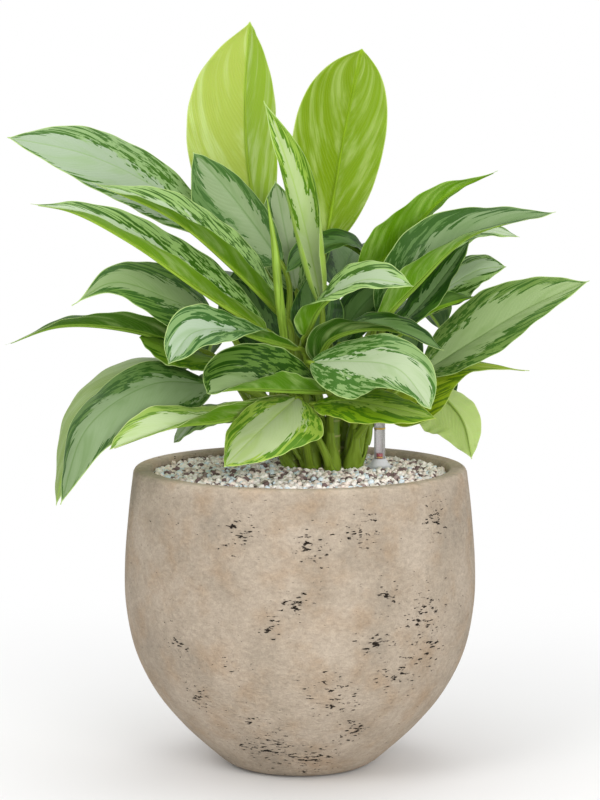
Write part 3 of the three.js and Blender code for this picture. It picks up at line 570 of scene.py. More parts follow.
def makeLeaf(leaf, rank):
    size, stem = bladeSettings, stalkSettings
    kind = leaf.get("kind", "silver")
    look = {**leafLooks["usual"], **leafLooks.get(kind, {}), **leafLooks.get(leaf["name"], {})}
    midrib = smoothCurve(leaf["midrib"])
    rows = size["stations"] + 1
    shares = [i / size["stations"] for i in range(rows)]
    path, length = spacedPoints(midrib, shares)
    frames, halves = halvesAlong(leaf, path, shares)
    columns = bladeColumns()
    seed = sum(map(ord, leaf["name"])) % 97 * 1.7
    upper, lower, leafMap, leafPlace, silver = [], [], [], [], []
    for s, at, (_, side, up), (left, right) in zip(shares, path, frames, halves):
        for u in columns:
            x, y, face, out, width = bladePoint(leaf, s, u, left, right, seed)
            groove = math.exp(-(out / size["grooveWidth"]) ** 2) * smoothStep(1.0, 0.7, s)
            thick = size["thickness"] / 2 * math.sqrt(max(1 - abs(u) ** 6, 0.0)) * min(1.0, width / 3)
            mid = at + side * x + up * (y - size["grooveDepth"] * groove)
            offset = side * face[0] + up * face[1]
            upper.append(mid + offset * thick)
            lower.append(mid - offset * thick)
            widest = max(left[1] if u < 0 else right[1], 1.0)
            sweep = widest * (size["veinSweep"][0] * abs(u) + size["veinSweep"][1] * u * u)
            leafMap.append((s * length - sweep, out, seed + (50 if u < 0 else 0)))
            leafPlace.append((s, abs(u), (1 - abs(u)) * width))
            reach = bothSides(look["silver"])[0 if u < 0 else 1]
            silver.append(float(np.interp(s, np.linspace(0, 1, len(reach)), reach)))
    # the stalk, and the midrib that runs on from it under the blade
    curve, outward = stalkPath(leaf, midrib)
    stalkShares = [i / stem["stations"] for i in range(stem["stations"])]
    stalk, _ = spacedPoints(curve, stalkShares)
    tube = np.vstack([stalk, path[:-2]])
    spine = turningFrames(tube[::-1], -frames[0][1])[::-1]
    rings, stalkMap, skinTones = [], [], []
    skin, rib = [np.array(linearColour(bothSides(look[key])[0])) for key in ("stalkTone", "ribTone")]
    run = 0.0
    for i, (at, (_, side, up)) in enumerate(zip(tube, spine)):
        run += np.linalg.norm(at - tube[i - 1]) if i else 0.0
        if i < len(stalk):
            t = stalkShares[i]
            radius = lerp(stem["radius"] + 0.3, stem["ribFoot"] + 0.3, smoothStep(0.5, 1.0, t))
            wide = radius * (1 + stem["flare"] * (1 - smoothStep(0.0, 0.45, t)))
            tone, sink = skin, 0.0
        else:
            s = shares[i - len(stalk)]
            radius = wide = lerp(stem["ribFoot"], stem["ribTip"], s ** 0.8)
            tone = lerp(skin, rib, smoothStep(0.0, 0.2, s))
            sink = (radius + 0.1) * smoothStep(-0.02, 0.05, s) + 0.15
            side, up = frames[i - len(stalk)][1:]
            side = -side
        for j in range(stem["sides"]):
            phi = 2 * math.pi * (j + 0.5) / stem["sides"]
            rings.append(at + side * math.cos(phi) * wide + up * (math.sin(phi) * radius - sink))
            stalkMap.append((phi * 3, run, seed))
            skinTones.append(tone)
    sheath, sheathMap = sheathRings(leaf, outward, rank)
    grid = rows * len(columns)
    points = np.vstack([upper, lower, rings, sheath.reshape(-1, 3)])
    blade = rowFaces(rows, len(columns)) + rowFaces(rows, len(columns), grid, flip=True)
    stems = rowFaces(len(tube), stem["sides"], 2 * grid, closed=True)
    stems += rowFaces(len(sheath), stem["sides"], 2 * grid + len(rings), closed=True)
    indices = [0] * (len(blade) // 2) + [1] * (len(blade) // 2) + [2] * len(stems)
    spare = len(points) - 2 * grid
    values = {
        "leafMap": np.vstack([leafMap, leafMap, np.zeros((spare, 3))]),
        "leafPlace": np.vstack([leafPlace, leafPlace, np.zeros((spare, 3))]),
        "silverWidth": np.concatenate([silver, silver, np.zeros(spare)]),
        "streakBar": np.full(len(points), look["streakBar"]),
        "stalkMap": np.vstack([np.zeros((2 * grid, 3)), stalkMap, sheathMap]),
        "stalkTone": np.vstack([np.tile(skin, (2 * grid, 1)), skinTones, np.tile(skin, (len(sheathMap), 1))]),
    }
    onLeft = np.array([u < 0 for u in columns] * (2 * rows) + [False] * spare)[:, None]
    for key in ("paleTone", "greenTone", "darkTone", "underTone", "ribTone", "rimTone"):
        values[key] = np.where(onLeft, *[linearColour(tone) for tone in bothSides(look[key])])
    top = leafTop if kind == "silver" else leafPlain
    piece = makePiece("blade_" + leaf["name"], points, blade + stems, [top, leafUnder, stalkSkin], indices,
                      values)
    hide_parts("leaf_" + leaf["name"])
    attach(piece, "planter")


# How far out the silver reaches (shares of the half's width, from the foot to the tip), the bar that a
# streak has to pass (lower means more dark), and each leaf's tones, which hold painted light and shade as
# well as its own colour. A pair is for the left and right.
leafLooks = {
    "usual": {"silver": (0.3, 0.45, 0.55, 0.65, 0.7), "streakBar": 0.5, "paleTone": "#A8BA98",
        "greenTone": "#8CAC64", "darkTone": "#365E10", "underTone": "#5C8A0C", "ribTone": "#86A83C",
        "rimTone": "#AEC67C", "stalkTone": "#7E9830"},
    # lime: yellow green tones, painted light for the light that comes through these leaves
    "lime": {"paleTone": "#98AF3C", "greenTone": "#84A028", "underTone": "#98B23A", "ribTone": "#86A82C",
        "rimTone": "#C6D68C"},
    "plain": {"paleTone": "#5F8C0A", "greenTone": "#487606", "underTone": "#4E7F04", "ribTone": "#76A01A",
        "rimTone": "#9DBC58"},
    # the halves of lime_left and lime_right differ in under tone by painted light and shade
    "lime_left": {"underTone": ("#8CAC24", "#A2B44A"), "ribTone": "#94B234", "rimTone": "#C4D690"},
    "lime_right": {"paleTone": "#86A020", "greenTone": "#76950F", "underTone": ("#78980A", "#749204"),
        "ribTone": "#84A60C", "rimTone": "#BED080"},
    "centre_twist": {"silver": ((0.15, 0.3, 0.4, 0.35, 0.2), (0.3, 0.4, 0.45, 0.35, 0.2)), "streakBar": 0.48,
        "paleTone": "#AEC088", "greenTone": "#96B648", "darkTone": "#557F14", "underTone": "#9AB84C"},
    "left_top": {"silver": ((0.7, 0.85, 0.95, 0.95, 0.95), (0.05, 0.15, 0.3, 0.55, 0.7)),
        "paleTone": "#98AA8E", "greenTone": "#86A46A", "darkTone": "#3A6416"},
    "left_mid": {"silver": ((0.3, 0.4, 0.45, 0.5, 0.6), (0.1, 0.25, 0.35, 0.4, 0.5)), "underTone": "#6C980C",
        "ribTone": "#9CBC40"},
    "left_low": {"silver": ((0.3, 0.4, 0.45, 0.5, 0.6), (0.2, 0.3, 0.4, 0.45, 0.5)), "darkTone": "#355E10",
        "underTone": "#6C980C", "ribTone": "#9CBC40"},
    "left_broad": {"silver": ((0.15, 0.3, 0.4, 0.45, 0.45), (0.3, 0.45, 0.6, 0.7, 0.8)), "streakBar": 0.48,
        "paleTone": "#849A68", "greenTone": "#5C8034", "darkTone": "#305816"},
    "left_dark": {"paleTone": "#567428", "greenTone": "#3E6610", "darkTone": "#284E06",
        "underTone": "#3C640C"},
    "left_small": {"paleTone": "#6C8E2C", "greenTone": "#5A7E12", "darkTone": "#3A620A"},
    "left_pale": {"paleTone": "#8EA46A", "greenTone": "#7C944A", "rimTone": "#B5C888"},
    "left_droop": {"silver": ((0.6, 0.75, 0.85, 0.9, 0.9), (0.1, 0.25, 0.4, 0.5, 0.6)),
        "paleTone": "#7C9268", "greenTone": "#567638", "darkTone": "#30541A"},
    "left_light": {"silver": (0.3, 0.45, 0.5, 0.55, 0.6), "streakBar": 0.52, "paleTone": "#B6C896",
        "greenTone": "#94B250", "darkTone": "#628826", "rimTone": "#D0DC98"},
    "front_curl": {"silver": (0.0, 0.05, 0.2, 0.45, 0.6), "streakBar": 0.47, "paleTone": "#9AAC92",
        "greenTone": "#729258", "darkTone": "#305A1C", "underTone": "#447008"},
    "front_bowl": {"silver": (0.05, 0.2, 0.35, 0.5, 0.6), "streakBar": 0.47, "paleTone": "#889F6A",
        "greenTone": "#5A7C30", "darkTone": "#244806", "underTone": "#527F10"},
    "front_bottom": {"silver": ((0.35, 0.5, 0.6, 0.65, 0.7), (0.35, 0.45, 0.5, 0.55, 0.6)),
        "streakBar": 0.51, "paleTone": "#A4B482", "greenTone": "#8CA83E", "darkTone": "#527C18",
        "rimTone": "#B8D070"},
    "front_small": {"silver": (0.1, 0.2, 0.35, 0.45, 0.5), "paleTone": "#9CAE8C"},
    "front_mid": {"streakBar": 0.46, "paleTone": "#64824A", "greenTone": "#386012", "darkTone": "#1C4206",
        "underTone": "#305A06"},
    "front_big": {"silver": ((0.1, 0.2, 0.4, 0.6, 0.7), (0.2, 0.35, 0.5, 0.6, 0.7)), "streakBar": 0.48,
        "paleTone": "#A6B692", "greenTone": "#82A062", "darkTone": "#3F6A22"},
    "front_lime": {"silver": (0.1, 0.2, 0.3, 0.4, 0.4), "paleTone": "#9AB650", "greenTone": "#789C18",
        "darkTone": "#4A740A", "underTone": "#6C940C", "rimTone": "#C0D068"},
    "right_olive": {"paleTone": "#8EA428", "greenTone": "#7A9410", "darkTone": "#4E6C08",
        "underTone": "#809A0C", "ribTone": "#94AC28", "rimTone": "#B0C468"},
    "right_pale": {"paleTone": "#A8BC6C", "greenTone": "#98B058", "underTone": "#A6BC6C",
        "ribTone": "#9AB458", "rimTone": "#BACA88"},
    "right_big": {"silver": ((0.3, 0.5, 0.6, 0.6, 0.7), (0.6, 0.6, 0.5, 0.5, 0.6)), "paleTone": "#90A670",
        "greenTone": "#6C8A42", "darkTone": "#3E6420"},
    "right_dark": {"silver": (0.1, 0.3, 0.4, 0.5, 0.5), "streakBar": 0.47, "paleTone": "#728F5A",
        "greenTone": "#3A6418", "darkTone": "#1E4606", "underTone": "#2C5606"},
    "right_long": {"silver": ((0.0, 0.2, 0.55, 0.7, 0.7), (0.0, 0.15, 0.45, 0.65, 0.7)), "streakBar": 0.46,
        "paleTone": "#728A5C", "greenTone": "#527438", "darkTone": "#2A520A"},
    "right_green": {"paleTone": "#669402", "greenTone": "#548200", "underTone": "#5E8E00",
        "rimTone": "#A8C868"},
    "back_dark": {"silver": ((0.3, 0.45, 0.5, 0.45, 0.35), (0.3, 0.4, 0.45, 0.4, 0.35)), "streakBar": 0.47,
        "paleTone": "#84996C", "greenTone": "#5C7E42", "darkTone": "#3A6222"},
    "right_back": {"silver": ((0.3, 0.5, 0.55, 0.6, 0.6), (0.2, 0.3, 0.4, 0.5, 0.6))},
    "back_silver": {"silver": ((0.2, 0.35, 0.45, 0.5, 0.5), (0.2, 0.35, 0.4, 0.45, 0.5)),
        "paleTone": "#98AA80", "greenTone": "#789654"},
}
# Leaves deep in the clump and at the back take these darker tones: painted shade
paintedShadeLook = {"paleTone": "#4E6E34", "greenTone": "#2A520C", "darkTone": "#1A3C05", "underTone": "#264C05",
            "rimTone": "#6C9040"}
shadedLeaves = ["right_plain", "back_arch", "inner_silver", "inner_mid", "inner_left", "inner_back",
                "inner_right", *("rear_%d" % k for k in range(1, 9))]
for name in shadedLeaves:
    leafLooks[name] = paintedShadeLook
leaves = [
    {"name": "lime_left", "kind": "lime", "cane": "e", "foot": 388, "widest": 0.58, "tip": 0.16,
     "midrib": [(-39, 82, 522), (-53, 76, 598), (-55, 66, 668), (-50, 52, 741)],
     "halves": [(0.5, (35, 47, 3), (-68, 9, 3))]},
    {"name": "lime_right", "kind": "lime", "cane": "f", "foot": 362, "widest": 0.6, "tip": 0.07,
     "midrib": [(25, 78, 511), (37, 74, 582), (47, 66, 641), (62, 52, 714)],
     "halves": [(0.6, (46, 27, 1), (-54, 22, 7))]},
    {"name": "centre_twist", "cane": "c", "foot": 362, "widest": 0.38, "curl": (3.3, 0.1),
     "midrib": [(21, -15, 463), (8, -22, 527), (-10, -30, 596), (-35, -48, 663)],
     "halves": [(0.25, (-8, -30, 0), (11, -32, 0)), (0.75, (-18, -16, 10), (29, -15, 10))]},
    {"name": "left_top", "cane": "e", "foot": 364,
     "midrib": [(-84, 50, 532), (-149, 20, 580), (-210, -22, 611), (-282, -58, 628)],
     "halves": [(0.45, (-16, -33, -24), (3, 30, 28))]},
    {"name": "left_mid", "cane": "b", "foot": 366, "widest": 0.38,
     "midrib": [(-15, -6, 450), (-64, -42, 501), (-123, -80, 552), (-197, -112, 587)],
     "halves": [(0.45, (3, -36, 18), (13, 37, 22))]},
    {"name": "left_low", "cane": "a", "foot": 364, "widest": 0.38,
     "midrib": [(-32, -30, 439), (-92, -62, 479), (-162, -98, 530), (-216, -114, 559), (-254, -122, 567)],
     "halves": [(0.4, (-1, -35, 19), (12, 36, 25))]},
    {"name": "left_broad", "cane": "a", "foot": 352, "widest": 0.28, "tip": 0.08,
     "midrib": [(-85, 5, 446), (-126, -25, 468), (-180, -60, 488), (-219, -88, 468)],
     "halves": [(0.45, (-11, -37, -21), (-2, 36, 32))]},
    {"name": "left_dark", "cane": "a", "foot": 338, "widest": 0.3, "tip": 0.1,
     "midrib": [(-101, 20, 415), (-169, 0, 437), (-237, -20, 442), (-289, -35, 425)],
     "halves": [(0.45, (-8, -28, 21), (-12, 30, 14))]},
    {"name": "left_small", "cane": "a", "foot": 324, "widest": 0.6,
     "midrib": [(-78, -2, 405), (-106, -11, 412), (-134, -21, 422), (-158, -28, 432)],
     "halves": [(0.5, (-5, -17, -13), (-5, 25, 6))]},
    {"name": "left_pale", "kind": "lime", "cane": "a", "foot": 312,
     "midrib": [(-101, 40, 403), (-160, 10, 400), (-206, -22, 369), (-232, -40, 302), (-240, -42, 267)],
     "halves": [(0.4, (11, -26, -18), (-19, 30, 1))]},
    {"name": "left_droop", "cane": "b", "foot": 352, "turn": 10, "widest": 0.4,
     "midrib": [(-88, -10, 384), (-146, -58, 388), (-204, -96, 351), (-231, -95, 276)],
     "halves": [(0.2, (5, -28, -37), (-7, 27, 21)), (0.5, (5, -28, -37), (-22, 27, 6))]},
    {"name": "left_light", "cane": "b", "foot": 316, "widest": 0.58,
     "midrib": [(-10, -30, 374), (-66, -70, 357), (-123, -108, 353), (-181, -136, 335)],
     "halves": [(0.35, (-8, -27, 17), (0, 35, 14)), (0.75, (-9, -26, -3), (-8, 30, 22))]},
    {"name": "left_inner", "cane": "b", "foot": 310, "widest": 0.6,
     "midrib": [(-32, -14, 356), (-68, -14, 355), (-105, -16, 348), (-125, -17, 326)],
     "halves": [(0.5, (-1, -25, -8), (1, 24, 10))]},
    {"name": "front_curl", "cane": "b", "foot": 354, "widest": 0.58,
     "midrib": [(-1, -42, 423), (-37, -82, 436), (-70, -119, 448), (-102, -146, 446), (-123, -160, 419)],
     "halves": [(0.25, (-6, -22, 16), (0, 23, 10)), (0.75, (14, -28, -14), (-12, 16, 25))]},
    {"name": "front_bowl", "cane": "c", "foot": 340, "widest": 0.55,
     "midrib": [(24, -56, 382), (-18, -92, 387), (-58, -128, 392), (-87, -158, 391)],
     "halves": [(0.5, (-2, -30, 21), (-15, 10, 46)), (0.85, (-3, -33, 6), (-34, 24, 30))]},
    {"name": "front_bottom", "cane": "b", "foot": 304, "lead": 0.15,
     "midrib": [(-3, -60, 376), (-25, -92, 360), (-50, -118, 339), (-72, -132, 318)],
     "halves": [(0.3, (43, -28, -22), (-16, 27, 17)), (0.6, (32, -29, -16), (-27, 31, 6))]},
    {"name": "front_small", "cane": "e", "foot": 384, "turn": -20, "rise": 0.5, "lead": 0.15,
     "midrib": [(5, -50, 436), (21, -74, 468), (61, -108, 494), (107, -136, 490)],
     "halves": [(0.15, (5, 22, 19), (-23, -25, 6)), (0.55, (0, 29, 17), (7, -31, -3))]},
    {"name": "front_mid", "cane": "d", "foot": 362, "turn": 50,
     "midrib": [(16, -35, 408), (31, -50, 433), (82, -68, 444), (139, -80, 424)],
     "halves": [(0.35, (-3, 33, 8), (-10, -29, 16)), (0.7, (3, 31, 18), (-6, -31, 3))]},
    {"name": "front_big", "cane": "f", "foot": 372, "turn": 75, "lead": 0.15, "widest": 0.52,
     "midrib": [(10, -84, 413), (49, -114, 417), (92, -148, 413), (122, -172, 378)],
     "halves": [(0.4, (5, 37, 25), (0, -34, -34)), (0.65, (10, 36, 24), (-4, -36, -32)),
                (0.9, (24, 30, 21), (-9, -33, -12))]},
    {"name": "front_lime", "cane": "c", "foot": 306,
     "midrib": [(14, -66, 371), (48, -88, 376), (87, -112, 372), (129, -132, 364)],
     "halves": [(0.45, (1, 32, 11), (-6, -32, -16))]},
    {"name": "right_olive", "cane": "d", "foot": 322, "widest": 0.28, "tip": 0.1,
     "midrib": [(76, 6, 362), (108, 0, 377), (153, -5, 401), (228, 0, 396)],
     "halves": [(0.35, (-14, 37, 13), (4, -34, -36)), (0.65, (-6, 20, 6), (2, -17, -14))]},
    {"name": "right_pale", "kind": "lime", "cane": "f", "foot": 318, "widest": 0.4,
     "midrib": [(119, 45, 374), (140, 30, 368), (162, 12, 345), (171, -5, 308)],
     "halves": [(0.5, (-26, -8, -26), (17, 28, 8))]},
    {"name": "right_big", "cane": "d", "foot": 332, "turn": -85, "widest": 0.4,
     "midrib": [(123, -5, 395), (175, -20, 430), (229, -42, 465), (280, -62, 490)],
     "halves": [(0.4, (-17, 29, 30), (9, -38, -15))]},
    {"name": "right_back", "cane": "f", "foot": 342,
     "midrib": [(120, 66, 451), (150, 62, 474), (180, 56, 492), (208, 50, 496)],
     "halves": [(0.5, (2, 24, 24), (12, -24, -13))]},
    {"name": "right_plain", "kind": "plain", "cane": "d", "foot": 360, "turn": 35, "rise": 0.9,
     "midrib": [(95, 25, 429), (129, 22, 453), (175, 18, 469)],
     "halves": [(0.5, (-2, 28, 10), (6, -14, 22))]},
    {"name": "right_dark", "cane": "d", "foot": 362, "rise": 0.7,
     "midrib": [(89, 0, 431), (121, -4, 463), (150, -8, 501), (168, -8, 527)],
     "halves": [(0.5, (-7, 18, 14), (13, -25, 1))]},
    {"name": "right_long", "cane": "d", "foot": 370, "widest": 0.4,
     "midrib": [(78, -18, 446), (112, -34, 483), (164, -48, 532), (248, -50, 556)],
     "halves": [(0.3, (-29, 20, 33), (-20, -28, 11)), (0.7, (-10, 33, 26), (-4, -34, -1))]},
    {"name": "right_tip", "cane": "f", "foot": 364,
     "midrib": [(101, 60, 484), (146, 58, 517), (186, 54, 533), (221, 48, 526)],
     "halves": [(0.6, (2, 25, 8), (-1, -24, -9))]},
    {"name": "right_green", "kind": "plain", "cane": "f", "foot": 378, "turn": -30, "widest": 0.35,
     "tip": 0.08,
     "midrib": [(61, 38, 485), (97, 22, 519), (143, -2, 569), (193, -26, 595)],
     "halves": [(0.3, (10, 34, -4), (-17, -24, 24)), (0.65, (6, 22, -4), (-14, -20, 20))]},
    {"name": "back_arch", "cane": "f", "foot": 340, "turn": -56, "lead": 0.15,
     "midrib": [(77, 57, 500), (45, 46, 520), (9, 28, 512), (-14, 10, 493)],
     "halves": [(0.4, (9, -26, -2), (9, 25, 14))]},
    {"name": "back_dark", "cane": "a", "foot": 374,
     "midrib": [(-19, 24, 502), (-45, 22, 539), (-76, 20, 579), (-106, 14, 612)],
     "halves": [(0.5, (-36, 0, -33), (14, 22, 13))]},
    {"name": "back_silver", "cane": "e", "foot": 352, "turn": 85,
     "midrib": [(-3, 56, 470), (-11, 58, 512), (-18, 60, 547), (-25, 60, 582)],
     "halves": [(0.6, (-35, 0, 24), (20, 17, 9))]},
    {"name": "inner_silver", "cane": "c", "foot": 306,
     "midrib": [(39, 20, 420), (51, 18, 445), (67, 16, 465), (84, 12, 480)],
     "halves": [(0.5, (-13, 20, 15), (22, 15, -8))]},
    {"name": "inner_mid", "cane": "e", "foot": 304, "turn": 60, "lead": 0.15,
     "midrib": [(10, 18, 420), (12, 20, 442), (12, 22, 466), (8, 24, 488)],
     "halves": [(0.5, (-22, 5, 2), (32, 0, -2))]},
    {"name": "inner_left", "cane": "a", "foot": 360, "turn": 30, "lead": 0.15,
     "midrib": [(-26, 30, 416), (-40, 34, 436), (-56, 38, 460), (-72, 40, 486)],
     "halves": [(0.5, (-24, -4, -16), (24, 8, 14))]},
    {"name": "inner_back", "cane": "e", "foot": 304, "turn": 45, "rise": 0.7, "lead": 0.15,
     "midrib": [(-46, 78, 416), (-52, 80, 438), (-58, 81, 465), (-66, 82, 492)],
     "halves": [(0.5, (-28, 0, -10), (30, 0, 8))]},
    {"name": "inner_right", "cane": "f", "foot": 304, "turn": -60,
     "midrib": [(88, 48, 390), (96, 49, 406), (104, 50, 424), (110, 50, 442)],
     "halves": [(0.5, (-24, 10, 10), (24, 4, -12))]},
    {"name": "rear_1", "cane": "e", "foot": 332, "turn": -30,
     "midrib": [(-30, 90, 410), (-62, 130, 425), (-88, 168, 415), (-100, 200, 385)],
     "halves": [(0.45, (-30, -26, 12), (26, 22, 12))]},
    {"name": "rear_2", "cane": "e", "foot": 356,
     "midrib": [(-20, 100, 440), (-45, 150, 470), (-60, 195, 475), (-68, 232, 450)],
     "halves": [(0.45, (-40, -8, 12), (40, 8, 12))]},
    {"name": "rear_3", "cane": "e", "foot": 380,
     "midrib": [(0, 105, 470), (-8, 150, 510), (-12, 190, 525), (-14, 225, 515)],
     "halves": [(0.45, (-40, 0, 12), (40, 0, 12))]},
    {"name": "rear_4", "cane": "f", "foot": 380,
     "midrib": [(40, 105, 470), (52, 150, 500), (60, 190, 508), (66, 225, 495)],
     "halves": [(0.45, (-40, 8, 12), (40, -8, 12))]},
    {"name": "rear_5", "cane": "f", "foot": 372,
     "midrib": [(75, 85, 430), (105, 125, 450), (130, 160, 445), (150, 190, 420)],
     "halves": [(0.45, (-30, 26, 10), (30, -26, 10))]},
    {"name": "rear_6", "cane": "f", "foot": 326,
     "midrib": [(70, 75, 395), (105, 105, 395), (135, 130, 375), (158, 150, 340)],
     "halves": [(0.45, (-26, 32, 8), (26, -32, 8))]},
    {"name": "rear_7", "cane": "e", "foot": 318,
     "midrib": [(-25, 75, 385), (-60, 100, 385), (-95, 122, 362), (-120, 138, 325)],
     "halves": [(0.45, (-20, -34, 8), (20, 34, 8))]},
    {"name": "rear_8", "cane": "f", "foot": 338,
     "midrib": [(20, 95, 400), (15, 140, 425), (12, 185, 425), (10, 225, 400)],
     "halves": [(0.45, (-34, 0, 10), (40, 0, 10))]},
]

for leaf in leaves:
    higher = [other for other in leaves if other["cane"] == leaf["cane"] and other["foot"] > leaf["foot"]]
    makeLeaf(leaf, len(higher))
print("leaves made:", len(leaves))


# Canes
caneLook = {
    "sides": 28,
    "rows": 64,
    "ringSpacing": 15,      # where old leaves grew
    "ringHeight": 0.7,
    "ringBreadth": 1.3,
    "roundedTop": 12,       # the cane closes over this height
    "wobble": 0.03,         # how far it strays from round, as a share of its radius
    "wobbleHeight": 23,     # and how slowly that turns with the height
    "greenAbove": 345.0,    # it is browner below this height
    "streakAcross": 1.4,
    "streakAlong": 12.0,
    "foot": "#6E7428", "top": "#64841C", "scar": "#9C9A60",
}


# Live green cane: smooth skin over a firm core, with a pale dry scar at each ring and browner at the soil
def greenCane():
    material, tree = newMaterial("greenCaneSkin")
    foot, top, scarTone = [linearColour(caneLook[key]) for key in ("foot", "top", "scar")]
    around, height, ring = valuesOf(tree, "stalkMap")
    ripe = addNode(tree, "MapRange", {"Value": height, "From Min": soilTop,
                                      "From Max": caneLook["greenAbove"]}, **smooth)
    drawn = addNode(tree, "CombineXYZ", {
        0: addNode(tree, "Math", {0: around, 1: caneLook["streakAcross"]}, operation="DIVIDE"),
        1: addNode(tree, "Math", {0: height, 1: caneLook["streakAlong"]}, operation="DIVIDE")})
    streak = addNode(tree, "TexNoise", {"Vector": drawn, "Scale": 1.0, "Detail": 3.0})
    dull = addNode(tree, "MapRange", {"Value": streak, "From Min": 0.4, "From Max": 0.7, "To Max": 0.5})
    scar = addNode(tree, "MapRange", {"Value": ring, "From Min": 0.35, "From Max": 0.9, "To Max": 0.8},
                   **smooth)
    flesh = layered(tree, foot, (ripe, top))
    deeper = addNode(tree, "HueSaturation", {"Value": 0.6, "Color": flesh})
    flesh = layered(tree, flesh, (dull, deeper), (scar, scarTone))
    bump = addNode(tree, "Bump", {"Height": streak, "Strength": 0.4, "Distance": 0.3 * mm})
    shader = addNode(tree, "BsdfPrincipled", {"Base Color": flesh, "Roughness": 0.5, "Normal": bump,
                                              "IOR": 1.42})
    addNode(tree, "OutputMaterial", {"Surface": shader})
    return material


def makeCane(key, skin):
    look, cane, fullRadius = caneLook, caneSettings[key], caneSettings["radius"]
    ahead = unit(np.array([*cane["lean"], 1.0]))
    side = unit(np.cross(ahead, [0, 1, 0]))
    front = np.cross(ahead, side)
    rows, sides = look["rows"], look["sides"]
    points, maps = [], []
    for i in range(rows + 1):
        height = lerp(caneSettings["foot"], cane["top"], i / rows)
        place = (height - soilLevel + 6 * ord(key)) / look["ringSpacing"]
        ring = math.exp(-((place - round(place)) * look["ringSpacing"] / look["ringBreadth"]) ** 2)
        radius = fullRadius - 0.5 + look["ringHeight"] * ring
        closing = smoothStep(cane["top"] - look["roundedTop"], cane["top"], height)
        radius *= math.sqrt(max(1 - closing, 0.0) * 0.98 + 0.02)
        for j in range(sides):
            phi = 2 * math.pi * j / sides
            wobbly = radius * (1 + look["wobble"] * math.sin(2 * phi + height / look["wobbleHeight"]))
            points.append(alongCane(cane, height) + (side * math.cos(phi) + front * math.sin(phi)) * wobbly)
            maps.append((phi * fullRadius, height, ring))
    faces = rowFaces(rows + 1, sides, closed=True) + endFaces(rows + 1, sides)
    piece = makePiece("stem_" + key, points, faces, [skin], values={"stalkMap": maps})
    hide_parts("cane_" + key)
    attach(piece, "planter")


caneSkin = greenCane()
for key in "abcdef":
    makeCane(key, caneSkin)
print("canes made")


# Spears: new leaves still rolled up, the free edge of the roll showing as a step that winds round
spearSettings = {
    "stations": 48,
    "sides": 22,
    "step": 0.16,           # how far the free edge stands off, as a share of the radius
    "twist": 1.1,           # turns of the edge from foot to tip
    "tone": "#8CAC40",
}
spears = [
    {"name": "spear_tall", "radii": (2.6, 3.2, 4, 4.6, 4.4, 2.6, 0.4),
     "path": [(-12, -1, 374), (-13, -15, 396), (-15, -36, 430), (-20, -54, 473), (-25, -56, 525),
              (-32, -56, 570)]},
    {"name": "spear_small", "radii": (2.4, 2.6, 2.8, 2.8, 2.2, 0.4),
     "path": [(22, -21, 352), (16, -24, 378), (11, -26, 404), (7.5, -29, 460)]},
]
for spear in spears:
    size = spearSettings
    shares = [i / size["stations"] for i in range(size["stations"] + 1)]
    path, length = spacedPoints(smoothCurve(spear["path"]), shares)
    radii = smoothCurve([(r, 0, 0) for r in spear["radii"]])
    points, maps = [], []
    for s, at, (_, side, up) in zip(shares, path, turningFrames(path, np.array([1.0, 0, 0]))):
        radius = max(0.4, radii(s)[0])
        for j in range(size["sides"]):
            t = j / (size["sides"] - 1)
            phi = 2 * math.pi * (t + size["twist"] * s - 0.3)
            r = radius * (1 - size["step"] / 2 + size["step"] * t * smoothStep(0.0, 0.25, s))
            points.append(at - side * math.cos(phi) * r + up * math.sin(phi) * r)
            maps.append((phi * 3, s * length, 3.1))
    faces = rowFaces(len(path), size["sides"], closed=True) + endFaces(len(path), size["sides"])
    tones = np.tile(linearColour(size["tone"]), (len(points), 1))
    piece = makePiece("rolled_" + spear["name"], points, faces, [stalkSkin],
                      values={"stalkMap": maps, "stalkTone": tones})
    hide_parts(spear["name"])
    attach(piece, "planter")
print("spears made")


# Pot
potSettings = {
    "foot": [(0.5, 0), (30, 0), (57, 0), (61, 0.15), (65, 0.6), (70, 2.0), (75, 4.4), (80, 7.8), (85, 12.0),
             (90, 16.5)],
    "waist": [(82, 9), (119, 44), (146, 78), (165, 117), (174, 162), (175, 206), (171, 257), (166.5, 294)],
    "waistFrom": 19,        # the waist's curve runs on from the foot at this height
    "rows": 70,
    "wall": 17,
    "inside": (26, 288),    # the heights between which the inside follows the outside
    "well": [(84, 21), (74, 18), (0.5, 18)],
    "rimInner": 148,
    "sides": 180,
    "unevenness": 0.35,     # how far the cast wall strays from a true round
    "pitSpacing": 6.4,      # one air pit in a cell of this size, where there is one
    "tear": 8.5,            # the size of the torn holes
    "tornBar": (0.71, 0.56),    # what they have to pass away from a cluster and in it; lower gives more
    "drawnOut": 3.0,        # how many times longer than high they are
    "blotch": 55,           # the size of the cloudy changes of tone
    "stain": 33,
    "sand": 1.6,            # the size of the sand in it
    "wrinkle": 5.5,         # the trowelled wrinkles' spacing
    "pitDepth": 1.8,
    "paintedLightWithin": (167.0, 162.0),     # painted light on the rim's inside starts inside the first radius and is full at the second
    "paintedLightAbove": (270.0, 282.0),      # and so with these heights
    # the pit tone is painted shade: the near black inside the pits and torn holes
    "base": "#A39583", "light": "#B3A594", "warm": "#A08669", "grey": "#958B7D", "pit": "#1E160E",
    "clusterEdge": (1.7, 0.2),  # shares of its reach between which a cluster thins out
    "backClusters": 60,         # the size of the looser clusters at the back
    # where the deep pits cluster on the front: across, up, reach
    "clusters": [(118, 172, 26), (72, 152, 20), (96, 118, 24), (128, 140, 18), (20, 112, 18), (38, 92, 20),
                 (52, 62, 18), (-30, 40, 32), (10, 22, 28), (-6, 196, 15), (-26, 170, 12), (-70, 130, 11),
                 (10, 250, 18), (60, 262, 18), (-60, 258, 18), (130, 268, 18), (-118, 150, 14), (-96, 92, 15),
                 (84, 200, 12), (-46, 74, 12)],
}


